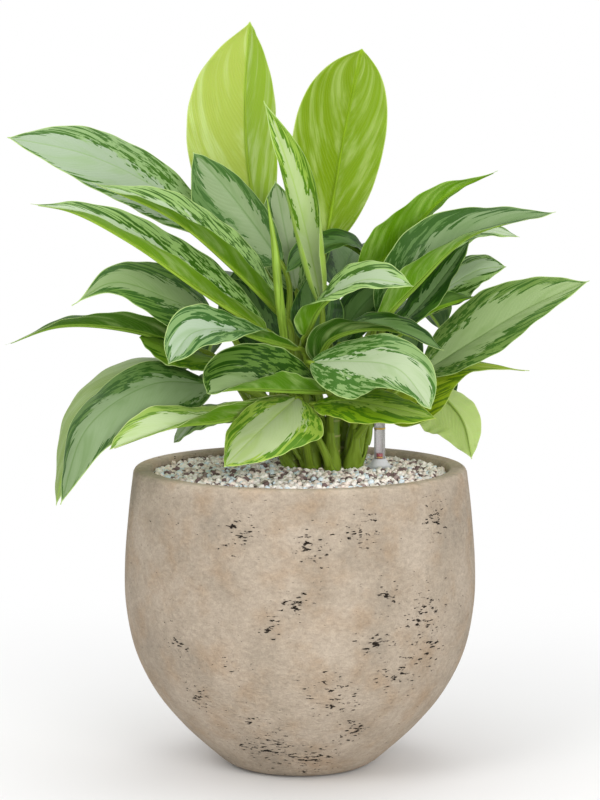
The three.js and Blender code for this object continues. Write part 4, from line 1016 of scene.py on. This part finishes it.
# How near a point of the pot is to a cluster of deep pits, on its front and, more thinly, on its back
def nearClusters(tree, point):
    near = 0.0
    edge, full = potSettings["clusterEdge"]
    for x, z, r in potSettings["clusters"]:
        around = 172 if z > 120 else 90 + 0.68 * z      # the wall's radius there
        centre = (x, -math.sqrt(max(around ** 2 - x ** 2, 0)), z)
        away = addNode(tree, "VectorMath", {0: point, 1: centre}, operation="DISTANCE").outputs["Value"]
        here = addNode(tree, "MapRange", {"Value": away, "From Min": r * edge, "From Max": r * full})
        near = addNode(tree, "Math", {0: here, 1: near}, operation="MAXIMUM")
    wide = addNode(tree, "TexNoise", {"Vector": point, "Scale": 1 / potSettings["backClusters"],
                                      "Detail": 1.0})
    wide = addNode(tree, "MapRange", {"Value": wide, "From Min": 0.52, "From Max": 0.66})
    behind = addNode(tree, "SeparateXYZ", {0: point}).outputs[1]
    behind = addNode(tree, "MapRange", {"Value": behind, "From Max": 60.0, "To Max": 0.75})
    wide = addNode(tree, "Math", {0: wide, 1: behind}, operation="MULTIPLY")
    return addNode(tree, "Math", {0: near, 1: wide}, operation="MAXIMUM")


# Fibre cement, cast in a mould and left raw: a chalky matt face, clouded and sandy, with air pits and
# clusters of torn dark holes that run level
def castFibreCement():
    material, tree = newMaterial("castFibreCement")
    size = potSettings
    base, light, warm, grey, pitShadeTone = [linearColour(size[key])
                                        for key in ("base", "light", "warm", "grey", "pit")]
    point = pointInMm(tree)
    cloud, stain, sand = [
        addNode(tree, "TexNoise", {"Vector": point, "Scale": 1 / size[key], "Detail": detail,
                                   "Roughness": rough})
        for key, detail, rough in (("blotch", 4.0, 0.6), ("stain", 3.0, 0.55), ("sand", 3.0, 0.7))]
    # cloudy tones
    warmth = addNode(tree, "MapRange", {"Value": stain, "From Min": 0.42, "From Max": 0.8, "To Max": 0.55},
                     **smooth)
    paleness = addNode(tree, "MapRange", {"Value": cloud, "From Min": 0.3, "From Max": 0.75}, **smooth)
    greyness = addNode(tree, "MapRange", {"Value": cloud, "From Min": 0.52, "From Max": 0.26, "To Max": 0.6},
                       **smooth)
    tone = layered(tree, base, (paleness, light), (greyness, grey), (warmth, warm))
    # trowelled wrinkles that run level, with painted shade in their hollows and painted light on their ridges
    drawn = addNode(tree, "Mapping", {0: point, "Scale": (1.0, 1.0, 1.5)})
    wrinkle = addNode(tree, "TexNoise", {"Vector": drawn, "Scale": 1 / size["wrinkle"], "Detail": 5.0,
                                         "Roughness": 0.65})
    # painted light: the inner half of the rim and the top of the inside wall are painted lighter, where shade
    # falls
    away = addNode(tree, "VectorMath", {0: point, 1: (1.0, 1.0, 0.0)}, operation="MULTIPLY")
    away = addNode(tree, "VectorMath", {0: away}, operation="LENGTH").outputs["Value"]
    start, full = size["paintedLightWithin"]
    inward = addNode(tree, "MapRange", {"Value": away, "From Min": start, "From Max": full})
    height = addNode(tree, "SeparateXYZ", {0: point}).outputs[2]
    start, full = size["paintedLightAbove"]
    upper = addNode(tree, "MapRange", {"Value": height, "From Min": start, "From Max": full, "To Max": 0.42})
    paintedRimLight = addNode(tree, "Math", {0: inward, 1: upper, 2: 1.0}, operation="MULTIPLY_ADD")
    grain = addNode(tree, "MapRange", {"Value": sand, "From Min": 0.25, "From Max": 0.75, "To Min": 0.86,
                                       "To Max": 1.1})
    # painted shade and light: the tone darkens in the wrinkles' hollows and lightens on their ridges
    wrinkleShading = addNode(tree, "MapRange", {"Value": wrinkle, "From Min": 0.3, "From Max": 0.7, "To Min": 0.84,
                                      "To Max": 1.13})
    for strength in (grain, wrinkleShading, paintedRimLight):
        tone = addNode(tree, "VectorMath", {0: tone, "Scale": strength}, operation="SCALE")
    # deep torn holes, drawn out level, where the clusters are
    near = nearClusters(tree, point)
    level = addNode(tree, "Mapping", {0: point, "Scale": (1.0, 1.0, size["drawnOut"])})
    torn = addNode(tree, "TexNoise", {"Vector": level, "Scale": 1 / size["tear"], "Detail": 4.0,
                                      "Roughness": 0.6, "Distortion": 0.15})
    away, inside = size["tornBar"]
    bar = addNode(tree, "MapRange", {"Value": near, "To Min": away, "To Max": inside})
    hole = addNode(tree, "Math", {0: torn, 1: bar}, operation="SUBTRACT")
    hole = addNode(tree, "MapRange", {"Value": hole, "From Max": 0.02}, **smooth)
    # small round pits, in some of the cells only, and in more of them near the torn holes
    cells = addNode(tree, "TexVoronoi", {"Vector": level, "Scale": 1 / size["pitSpacing"]})
    chance = addNode(tree, "SeparateColor", {0: cells.outputs["Color"]})
    chance = addNode(tree, "Math", {0: near, 1: 0.3, 2: chance}, operation="MULTIPLY_ADD")
    reach = addNode(tree, "MapRange", {"Value": chance, "From Min": 0.82, "From Max": 1.3, "To Max": 0.4})
    pit = addNode(tree, "Math", {0: reach, 1: cells}, operation="SUBTRACT")
    pit = addNode(tree, "MapRange", {"Value": pit, "From Max": 0.05}, **smooth)
    hollow = addNode(tree, "Math", {0: pit, 1: hole}, operation="MAXIMUM")
    relief = hollow
    for source, strength in ((wrinkle, 1.3), (sand, 0.3), (hollow, -2.0)):
        relief = addNode(tree, "Math", {0: source, 1: strength, 2: relief}, operation="MULTIPLY_ADD")
    bump = addNode(tree, "Bump", {"Height": relief, "Strength": 1.0, "Distance": size["pitDepth"] * mm})
    # the pits and torn holes take the near black pit tone: painted shade inside them
    shader = addNode(tree, "BsdfPrincipled", {
        "Base Color": layered(tree, tone, (hollow, pitShadeTone)), "Roughness": 0.92, "Normal": bump, "IOR": 1.5,
        "Specular IOR Level": 0.25})
    addNode(tree, "OutputMaterial", {"Surface": shader})
    return material


# Turns a profile of radius and height about the Z axis; a closed profile makes a hollow piece
def turnedPiece(name, profile, sides, material, at=(0, 0), closed=False, uneven=0.0):
    points = []
    for r, z in profile:
        for j in range(sides):
            phi = 2 * math.pi * j / sides
            x, y = math.cos(phi), math.sin(phi)
            stray = uneven * noise.noise(Vector((x * 1.6, y * 1.6, z / 70))) * min(1.0, r / 60)
            points.append((at[0] + x * (r + stray), at[1] + y * (r + stray), z))
    faces = rowFaces(len(profile), sides, closed=True)
    last = (len(profile) - 1) * sides
    if closed:
        faces += [(last + j, last + (j + 1) % sides, (j + 1) % sides, j) for j in range(sides)]
    else:
        faces += endFaces(len(profile), sides)
    return makePiece(name, points, faces, [material])


def roundedCorner(centre, radius, start, end, steps):
    turns = [math.radians(lerp(start, end, i / steps)) for i in range(steps + 1)]
    return [(centre[0] + radius * math.cos(turn), centre[1] + radius * math.sin(turn)) for turn in turns]


def potProfile():
    size = potSettings
    curve = smoothCurve([(r, 0, z) for r, z in size["waist"]])
    outside, _ = spacedPoints(curve, [i / size["rows"] for i in range(size["rows"] + 1)])
    low, high = size["inside"]
    inside = [(min(r - size["wall"], size["rimInner"]), z) for r, _, z in outside if low < z < high]
    outside = [(r, z) for r, _, z in outside if z > size["waistFrom"]]
    rim = [(166.2, 296), *roundedCorner((161.5, 296), 4.2, 12, 90, 6),
           *roundedCorner((151.5, 296.4), 3.6, 90, 180, 6)]
    return size["foot"] + outside + rim + inside[::-1] + size["well"]


pot = turnedPiece("cast_pot", potProfile(), potSettings["sides"], castFibreCement(),
                  uneven=potSettings["unevenness"])
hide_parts("pot")
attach(pot, "planter")
print("pot made")


# Granules
grainSettings = {
    "count": 2300,
    "small": 2.0, "large": 3.8,     # radii; the mix is sieved to 4 to 7 mm
    "stretch": 0.25,        # how far a grain strays from a ball
    "lumps": 0.13,          # and how angular it is
    "lift": 1.6,
    "edge": 146.5,
    "crownRadius": 147.6,   # where the filling's crown comes down to the wall
    "colours": [("#FFF8F1", 0.42), ("#FFEFE4", 0.21), ("#7E6866", 0.13), ("#A8948F", 0.06), ("#E8F4FC", 0.15),
                ("#DACAC0", 0.05)],
    "packedPale": "#F0E2D6", "packedDark": "#9A8682",
    "clearOfCane": 8.6,
    "clearOfGauge": 17.0,
    "gaugeAt": (80, 20),
}


# Tumbled mineral grains: lime, pumice and baked clay, dry and dusty, each speckled within its own tone
def tumbledMineral():
    material, tree = newMaterial("tumbledMineralGrains")
    tone, = tonesOf(tree, "grainTone")
    speck = addNode(tree, "TexNoise", {"Vector": pointInMm(tree), "Scale": 1 / 0.9, "Detail": 3.0,
                                       "Roughness": 0.7})
    strength = addNode(tree, "MapRange", {"Value": speck, "From Min": 0.3, "From Max": 0.7, "To Min": 0.9,
                                          "To Max": 1.12})
    tone = addNode(tree, "VectorMath", {0: tone, "Scale": strength}, operation="SCALE")
    bump = addNode(tree, "Bump", {"Height": speck, "Strength": 0.4, "Distance": 0.4 * mm})
    shader = addNode(tree, "BsdfPrincipled", {"Base Color": tone, "Roughness": 0.85, "Normal": bump,
                                              "IOR": 1.5, "Specular IOR Level": 0.3})
    addNode(tree, "OutputMaterial", {"Surface": shader})
    return material


# The same grains packed below the loose ones: only their dull tops show, with painted shade in the gaps
# between them
def packedMineral():
    material, tree = newMaterial("packedMineralGrains")
    pale, dark = [linearColour(grainSettings[key]) for key in ("packedPale", "packedDark")]
    cells = addNode(tree, "TexVoronoi", {"Vector": pointInMm(tree), "Scale": 1 / 6.0})
    gapShadeAndDepth = addNode(tree, "MapRange", {"Value": cells, "From Min": 0.25, "From Max": 0.65, "To Min": 1.0,
                                       "To Max": 0.25})
    pick = addNode(tree, "SeparateColor", {0: cells.outputs["Color"]}).outputs[1]
    isDark = addNode(tree, "Math", {0: pick, 1: 0.5}, operation="GREATER_THAN")
    tone = layered(tree, pale, (isDark, dark))
    # painted shade: the tone darkens towards the gaps between the grains
    tone = addNode(tree, "VectorMath", {0: tone, "Scale": gapShadeAndDepth}, operation="SCALE")
    bump = addNode(tree, "Bump", {"Height": gapShadeAndDepth, "Strength": 0.9, "Distance": 2.0 * mm})
    shader = addNode(tree, "BsdfPrincipled", {"Base Color": tone, "Roughness": 0.9, "Normal": bump,
                                              "IOR": 1.5, "Specular IOR Level": 0.2})
    addNode(tree, "OutputMaterial", {"Surface": shader})
    return material


def roundBall():    # an icosphere's points and faces, its radius 1
    ball = bpy.data.meshes.new("ball")
    shape = bmesh.new()
    bmesh.ops.create_icosphere(shape, subdivisions=1, radius=1.0)
    shape.to_mesh(ball)
    shape.free()
    points = np.array([v.co[:] for v in ball.vertices])
    faces = [tuple(p.vertices) for p in ball.polygons]
    bpy.data.meshes.remove(ball)
    return points, faces


# Loose grains on the filling, spaced out like seeds on a flower head and then shaken
def makeGrains():
    size = grainSettings
    draw = random.Random(27)
    ball, ballFaces = roundBall()
    colours = [linearColour(c) for c, _ in size["colours"]]
    shares = [w for _, w in size["colours"]]
    points, faces, tones = [], [], []
    golden = math.pi * (3 - math.sqrt(5))
    for i in range(size["count"]):
        r = size["edge"] * math.sqrt((i + 0.5) / size["count"]) + draw.uniform(-1.2, 1.2)
        phi = i * golden + draw.uniform(-0.5, 0.5) * 3 / max(r, 3)
        r = min(r, size["edge"] - 1.5)
        x, y = r * math.cos(phi), r * math.sin(phi)
        if math.dist((x, y), size["gaugeAt"]) < size["clearOfGauge"]:
            continue
        if any(math.dist((x, y), caneSettings[k]["at"]) < size["clearOfCane"] for k in "abcdef"):
            continue
        radius = draw.uniform(size["small"], size["large"])
        crown = soilCrown * (1 - (r / size["crownRadius"]) ** 2)
        z = soilTop + crown + draw.uniform(-0.6, 1.0) * size["lift"]
        stretch = Matrix.Diagonal([draw.uniform(1 - size["stretch"], 1 + size["stretch"]) for _ in range(3)])
        turn = draw.uniform(0, 6.28)
        turn = Matrix.Rotation(turn, 3, Vector([draw.uniform(-1, 1) for _ in range(3)]).normalized())
        lumps = 1 + np.array([draw.uniform(-size["lumps"], size["lumps"]) for _ in ball])
        grain = radius * (ball * lumps[:, None]) @ np.array(turn @ stretch).T
        faces.extend(tuple(len(points) + k for k in face) for face in ballFaces)
        points.extend(np.array([x, y, z]) + grain)
        tone = np.array(draw.choices(colours, shares)[0]) * draw.uniform(0.9, 1.08)
        tones.extend([(*tone[:3], 1.0)] * len(ball))
    return makePiece("loose_grains", points, faces, [tumbledMineral()], values={"grainTone": tones})


grains = makeGrains()
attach(grains, "planter")
packed = packedMineral()
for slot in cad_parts["granules"].material_slots:
    slot.material = packed
print("granules made")


# Water gauge
gaugeSettings = {
    "at": (80, 20),
    "sides": 48,
    "tubeRadius": 5.5, "tubeBore": 4.2, "tubeTop": 356,
    "collarFoot": 14.5, "collarNeck": 6.6, "collarHeight": 10, "seat": soilLevel - 1.6,
    "casingRadius": 9, "casingBore": 7.2, "casingFoot": 46, "casingTop": 293.8,
    "marks": [(335, 1.6), (342, 1.6)],      # plain level marks round the tube: height and breadth
    "floatRadius": 6.2, "floatFoot": 60, "floatTop": 96, "stem": 1.5, "stemTop": 304,
    "pointerRadius": 3.4, "pointerFoot": 304.4, "pointerHeight": 6,
    # the last tone on the next line is painted shade for the collar's foot
    "acrylic": "#FAF8FA", "frostedDull": "#E8E6EE", "frostedPale": "#F8F6FC", "frostedFootShade": "#86829A",
    "yellow": "#D9B23A", "red": "#A8142F",
}


# Clear acrylic, extruded with a white strip in its rear half: the pointer shows red against the strip, and
# the clear half in front of it is only seen by its gloss and by painted reflection where it turns edge on
def whiteBackedAcrylic():
    material, tree = newMaterial("extrudedWhiteBackedAcrylic")
    cloud = addNode(tree, "TexNoise", {"Scale": 300.0, "Detail": 2.0})
    rough = addNode(tree, "MapRange", {"Value": cloud, "To Min": 0.12, "To Max": 0.22})
    # painted reflection: the clear front grows opaque white towards its edges
    edge = addNode(tree, "LayerWeight", {"Blend": 0.5}).outputs["Facing"]
    clear = addNode(tree, "MapRange", {"Value": edge, "From Min": 0.3, "From Max": 0.9, "To Min": 0.06,
                                       "To Max": 0.6})
    depth = addNode(tree, "SeparateXYZ", {0: pointInMm(tree)}).outputs[1]
    axis = gaugeSettings["at"][1]
    strip = addNode(tree, "MapRange", {"Value": depth, "From Min": axis - 0.5, "From Max": axis + 1.0,
                                       "To Max": 0.96})
    cover = addNode(tree, "Math", {0: clear, 1: strip}, operation="MAXIMUM")
    shader = addNode(tree, "BsdfPrincipled", {"Base Color": linearColour(gaugeSettings["acrylic"]),
                                              "Roughness": rough, "IOR": 1.49, "Alpha": cover})
    addNode(tree, "OutputMaterial", {"Surface": shader})
    return material


# Frosted polypropylene, injection moulded: milky, with a soft gleam and a faint orange peel. Painted shade
# darkens its foot, where it sits on the grains.
def frostedPolypropylene():
    material, tree = newMaterial("mouldedFrostedPolypropylene")
    size = gaugeSettings
    dull, pale, shaded = [linearColour(size[key]) for key in ("frostedDull", "frostedPale", "frostedFootShade")]
    place = pointInMm(tree)
    peel = addNode(tree, "TexNoise", {"Vector": place, "Scale": 0.9, "Detail": 2.0})
    # painted shade: the collar darkens towards its foot
    height = addNode(tree, "SeparateXYZ", {0: place}).outputs[2]
    low = addNode(tree, "MapRange", {"Value": height, "From Min": size["seat"] + 3.2,
                                     "From Max": size["seat"] + 0.6, "To Max": 0.75})
    bump = addNode(tree, "Bump", {"Height": peel, "Strength": 0.3, "Distance": 0.1 * mm})
    shader = addNode(tree, "BsdfPrincipled", {
        "Base Color": layered(tree, dull, (peel, pale), (low, shaded)), "Roughness": 0.38, "IOR": 1.49,
        "Normal": bump, "Transmission Weight": 0.1})
    addNode(tree, "OutputMaterial", {"Surface": shader})
    return material


# ABS, injection moulded in one colour: even and half glossy, with the faintest moulding grain
def mouldedAbs(name, hexColour, roughness):
    material, tree = newMaterial(name)
    grain = addNode(tree, "TexNoise", {"Vector": pointInMm(tree), "Scale": 1.2, "Detail": 2.0})
    tone = addNode(tree, "HueSaturation", {
        "Color": linearColour(hexColour),
        "Value": addNode(tree, "MapRange", {"Value": grain, "To Min": 0.9, "To Max": 1.1})})
    bump = addNode(tree, "Bump", {"Height": grain, "Strength": 0.2, "Distance": 0.05 * mm})
    shader = addNode(tree, "BsdfPrincipled", {"Base Color": tone, "Roughness": roughness, "IOR": 1.52,
                                              "Normal": bump})
    addNode(tree, "OutputMaterial", {"Surface": shader})
    return material


def makeGauge():
    size = gaugeSettings
    seat, wall, bore, top = size["seat"], size["tubeRadius"], size["tubeBore"], size["tubeTop"]
    clear, frosted = whiteBackedAcrylic(), frostedPolypropylene()
    yellow = mouldedAbs("mouldedYellowAbs", size["yellow"], 0.4)
    red = mouldedAbs("mouldedRedAbs", size["red"], 0.3)
    tube = [(bore, seat + 0.2), (wall, seat + 0.2), (wall, top - 2.2),
            *roundedCorner((wall - 1.6, top - 1.6), 1.6, 0, 90, 5),
            (0.2, top), (0.2, top - 1.6), (bore - 0.6, top - 1.6), (bore, top - 2.4)]
    neck, foot, tall = size["collarNeck"], size["collarFoot"], size["collarHeight"]
    collar = [(wall + 0.4, seat), (foot - 0.4, seat), (foot, seat + 0.4), (foot, seat + 1.5),
              (foot - 0.5, seat + 2.0), (foot - 2.2, seat + 2.3), (foot - 5, seat + 4.6),
              (neck + 0.8, seat + 8.4), (neck, seat + tall), (wall + 0.4, seat + tall)]
    casing = [(size["casingBore"], size["casingFoot"]), (size["casingRadius"], size["casingFoot"]),
              (size["casingRadius"], size["casingTop"]), (size["casingBore"], size["casingTop"])]
    radius, low, high = size["floatRadius"], size["floatFoot"], size["floatTop"]
    bulb = [(0.2, low), *roundedCorner((radius - 2.5, low + 2.5), 2.5, -90, 0, 5),
            *roundedCorner((radius - 2.5, high - 2.5), 2.5, 0, 90, 5),
            (size["stem"], high), (size["stem"], size["stemTop"]), (0.2, size["stemTop"])]
    foot, wide = size["pointerFoot"], size["pointerRadius"]
    tip = foot + size["pointerHeight"]
    pointer = [(0.2, foot), (wide - 0.4, foot), (wide, foot + 0.4), (wide, tip - 0.4), (wide - 0.4, tip),
               (0.2, tip)]
    band = [(wide - 0.3, foot + 1.4), (wide + 0.15, foot + 1.5), (wide + 0.15, foot + 2.6),
            (wide - 0.3, foot + 2.7)]
    marks = []
    for low, breadth in size["marks"]:
        high = low + breadth
        mark = [(wall + 0.02, low), (wall + 0.25, low + 0.1), (wall + 0.25, high - 0.1), (wall + 0.02, high)]
        marks.append(("gauge_mark_%d" % low, mark, yellow, True, None, "planter", "yellow_plastic"))
    pieces = [
        ("gauge_clear_tube", tube, clear, True, "gauge_tube", "planter", "clear_plastic"),
        ("gauge_cone_collar", collar, frosted, True, "gauge_collar", "planter", "clear_plastic"),
        ("gauge_casing_wall", casing, frosted, True, "gauge_casing", "planter", "casing_plastic"),
        *marks,
        ("gauge_float_bulb", bulb, yellow, False, "gauge_float", "float", "yellow_plastic"),
        ("gauge_red_pointer", pointer, red, False, "gauge_pointer", "float", "red_plastic"),
        ("gauge_pointer_band", band, yellow, True, None, "float", "yellow_plastic"),
    ]
    for name, profile, material, hollow, node, body, slot in pieces:
        piece = turnedPiece(name, profile, size["sides"], material, size["at"], closed=hollow)
        if node:
            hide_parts(node)
        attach(piece, body)


makeGauge()
print("gauge made")


# Floor, light and camera
stageSettings = {
    "floorReach": 9000, "floorSides": 64, "floorBelow": 0.2,
    "floorTone": "#EFEFEF", "white": "#FFFFFF",
    "fadeFrom": 0.25, "fadeTo": 0.95,        # the pale floor runs out into the white of the studio
    "ambient": 0.8,
    "key": {"at": (-1.5, -2.0, 2.1), "aim": (0, 0, 0.4), "size": 1.3, "power": 22},
    "fill": {"at": (0.9, -2.6, 0.85), "aim": (0, 0, 0.35), "size": 1.8, "power": 44},
    "top": {"at": (0.1, 0.4, 2.3), "aim": (0, 0, 0.4), "size": 1.8, "power": 12},
    "cameraAt": (0.0, -2.7, 0.68), "pitch": 6.62, "lens": 122.9, "filmWidth": 36, "sight": 50,
}


# Painted studio floor, rolled matt white: it holds a soft shadow near the pot and is lost in light beyond
def paintedFloor():
    material, tree = newMaterial("rolledMattWhiteFloor")
    size = stageSettings
    place = addNode(tree, "TexCoord").outputs["Object"]
    away = addNode(tree, "VectorMath", {0: place}, operation="LENGTH").outputs["Value"]
    fade = addNode(tree, "MapRange", {"Value": away, "From Min": size["fadeFrom"],
                                      "From Max": size["fadeTo"]}, **smooth)
    matt = addNode(tree, "BsdfPrincipled", {"Base Color": linearColour(size["floorTone"]), "Roughness": 0.9,
                                            "Specular IOR Level": 0.1})
    glow = addNode(tree, "Emission", {"Color": linearColour(size["white"]), "Strength": 1.0})
    both = addNode(tree, "MixShader", {0: fade, 1: matt, 2: glow})
    addNode(tree, "OutputMaterial", {"Surface": both})
    return material


def makeFloor():
    size = stageSettings
    reach, sides, low = size["floorReach"], size["floorSides"], -size["floorBelow"]
    turns = [2 * math.pi * j / sides for j in range(sides)]
    points = [(0, 0, low)] + [(reach * math.cos(turn), reach * math.sin(turn), low) for turn in turns]
    faces = [(0, 1 + j, 1 + (j + 1) % sides) for j in range(sides)]
    makePiece("studio_floor", points, faces, [paintedFloor()], sharp=True)


# A white studio that lights the plant a little less than it looks itself
def makeStudio():
    world = bpy.data.worlds.new("studio")
    scene.world = world
    world.use_nodes = True
    tree = world.node_tree
    tree.nodes.clear()
    seen = addNode(tree, "LightPath").outputs["Is Camera Ray"]
    strength = addNode(tree, "MapRange", {"Value": seen, "To Min": stageSettings["ambient"]})
    back = addNode(tree, "Background", {"Color": linearColour(stageSettings["white"]), "Strength": strength})
    addNode(tree, "OutputWorld", {"Surface": back})


def placed(name, data, at, turn):
    holder = bpy.data.objects.new(name, data)
    holder.location = at
    holder.rotation_euler = turn
    scene.collection.objects.link(holder)
    return holder


makeFloor()
makeStudio()
for name in ("key", "fill", "top"):
    lamp = stageSettings[name]
    light = bpy.data.lights.new(name + "_softbox", "AREA")
    light.shape = "DISK"
    light.size = lamp["size"]
    light.energy = lamp["power"]
    aim = Vector(lamp["aim"]) - Vector(lamp["at"])
    placed(name + "_softbox", light, lamp["at"], aim.to_track_quat("-Z", "Y").to_euler())
camera = bpy.data.cameras.new("photo_view")
camera.lens = stageSettings["lens"]
camera.sensor_width = stageSettings["filmWidth"]
camera.clip_end = stageSettings["sight"]
scene.camera = placed("photo_view", camera, stageSettings["cameraAt"],
                      (math.radians(90 - stageSettings["pitch"]), 0, 0))
scene.view_settings.view_transform = "Standard"     # so that the hex colours come out as written
print("stage made")
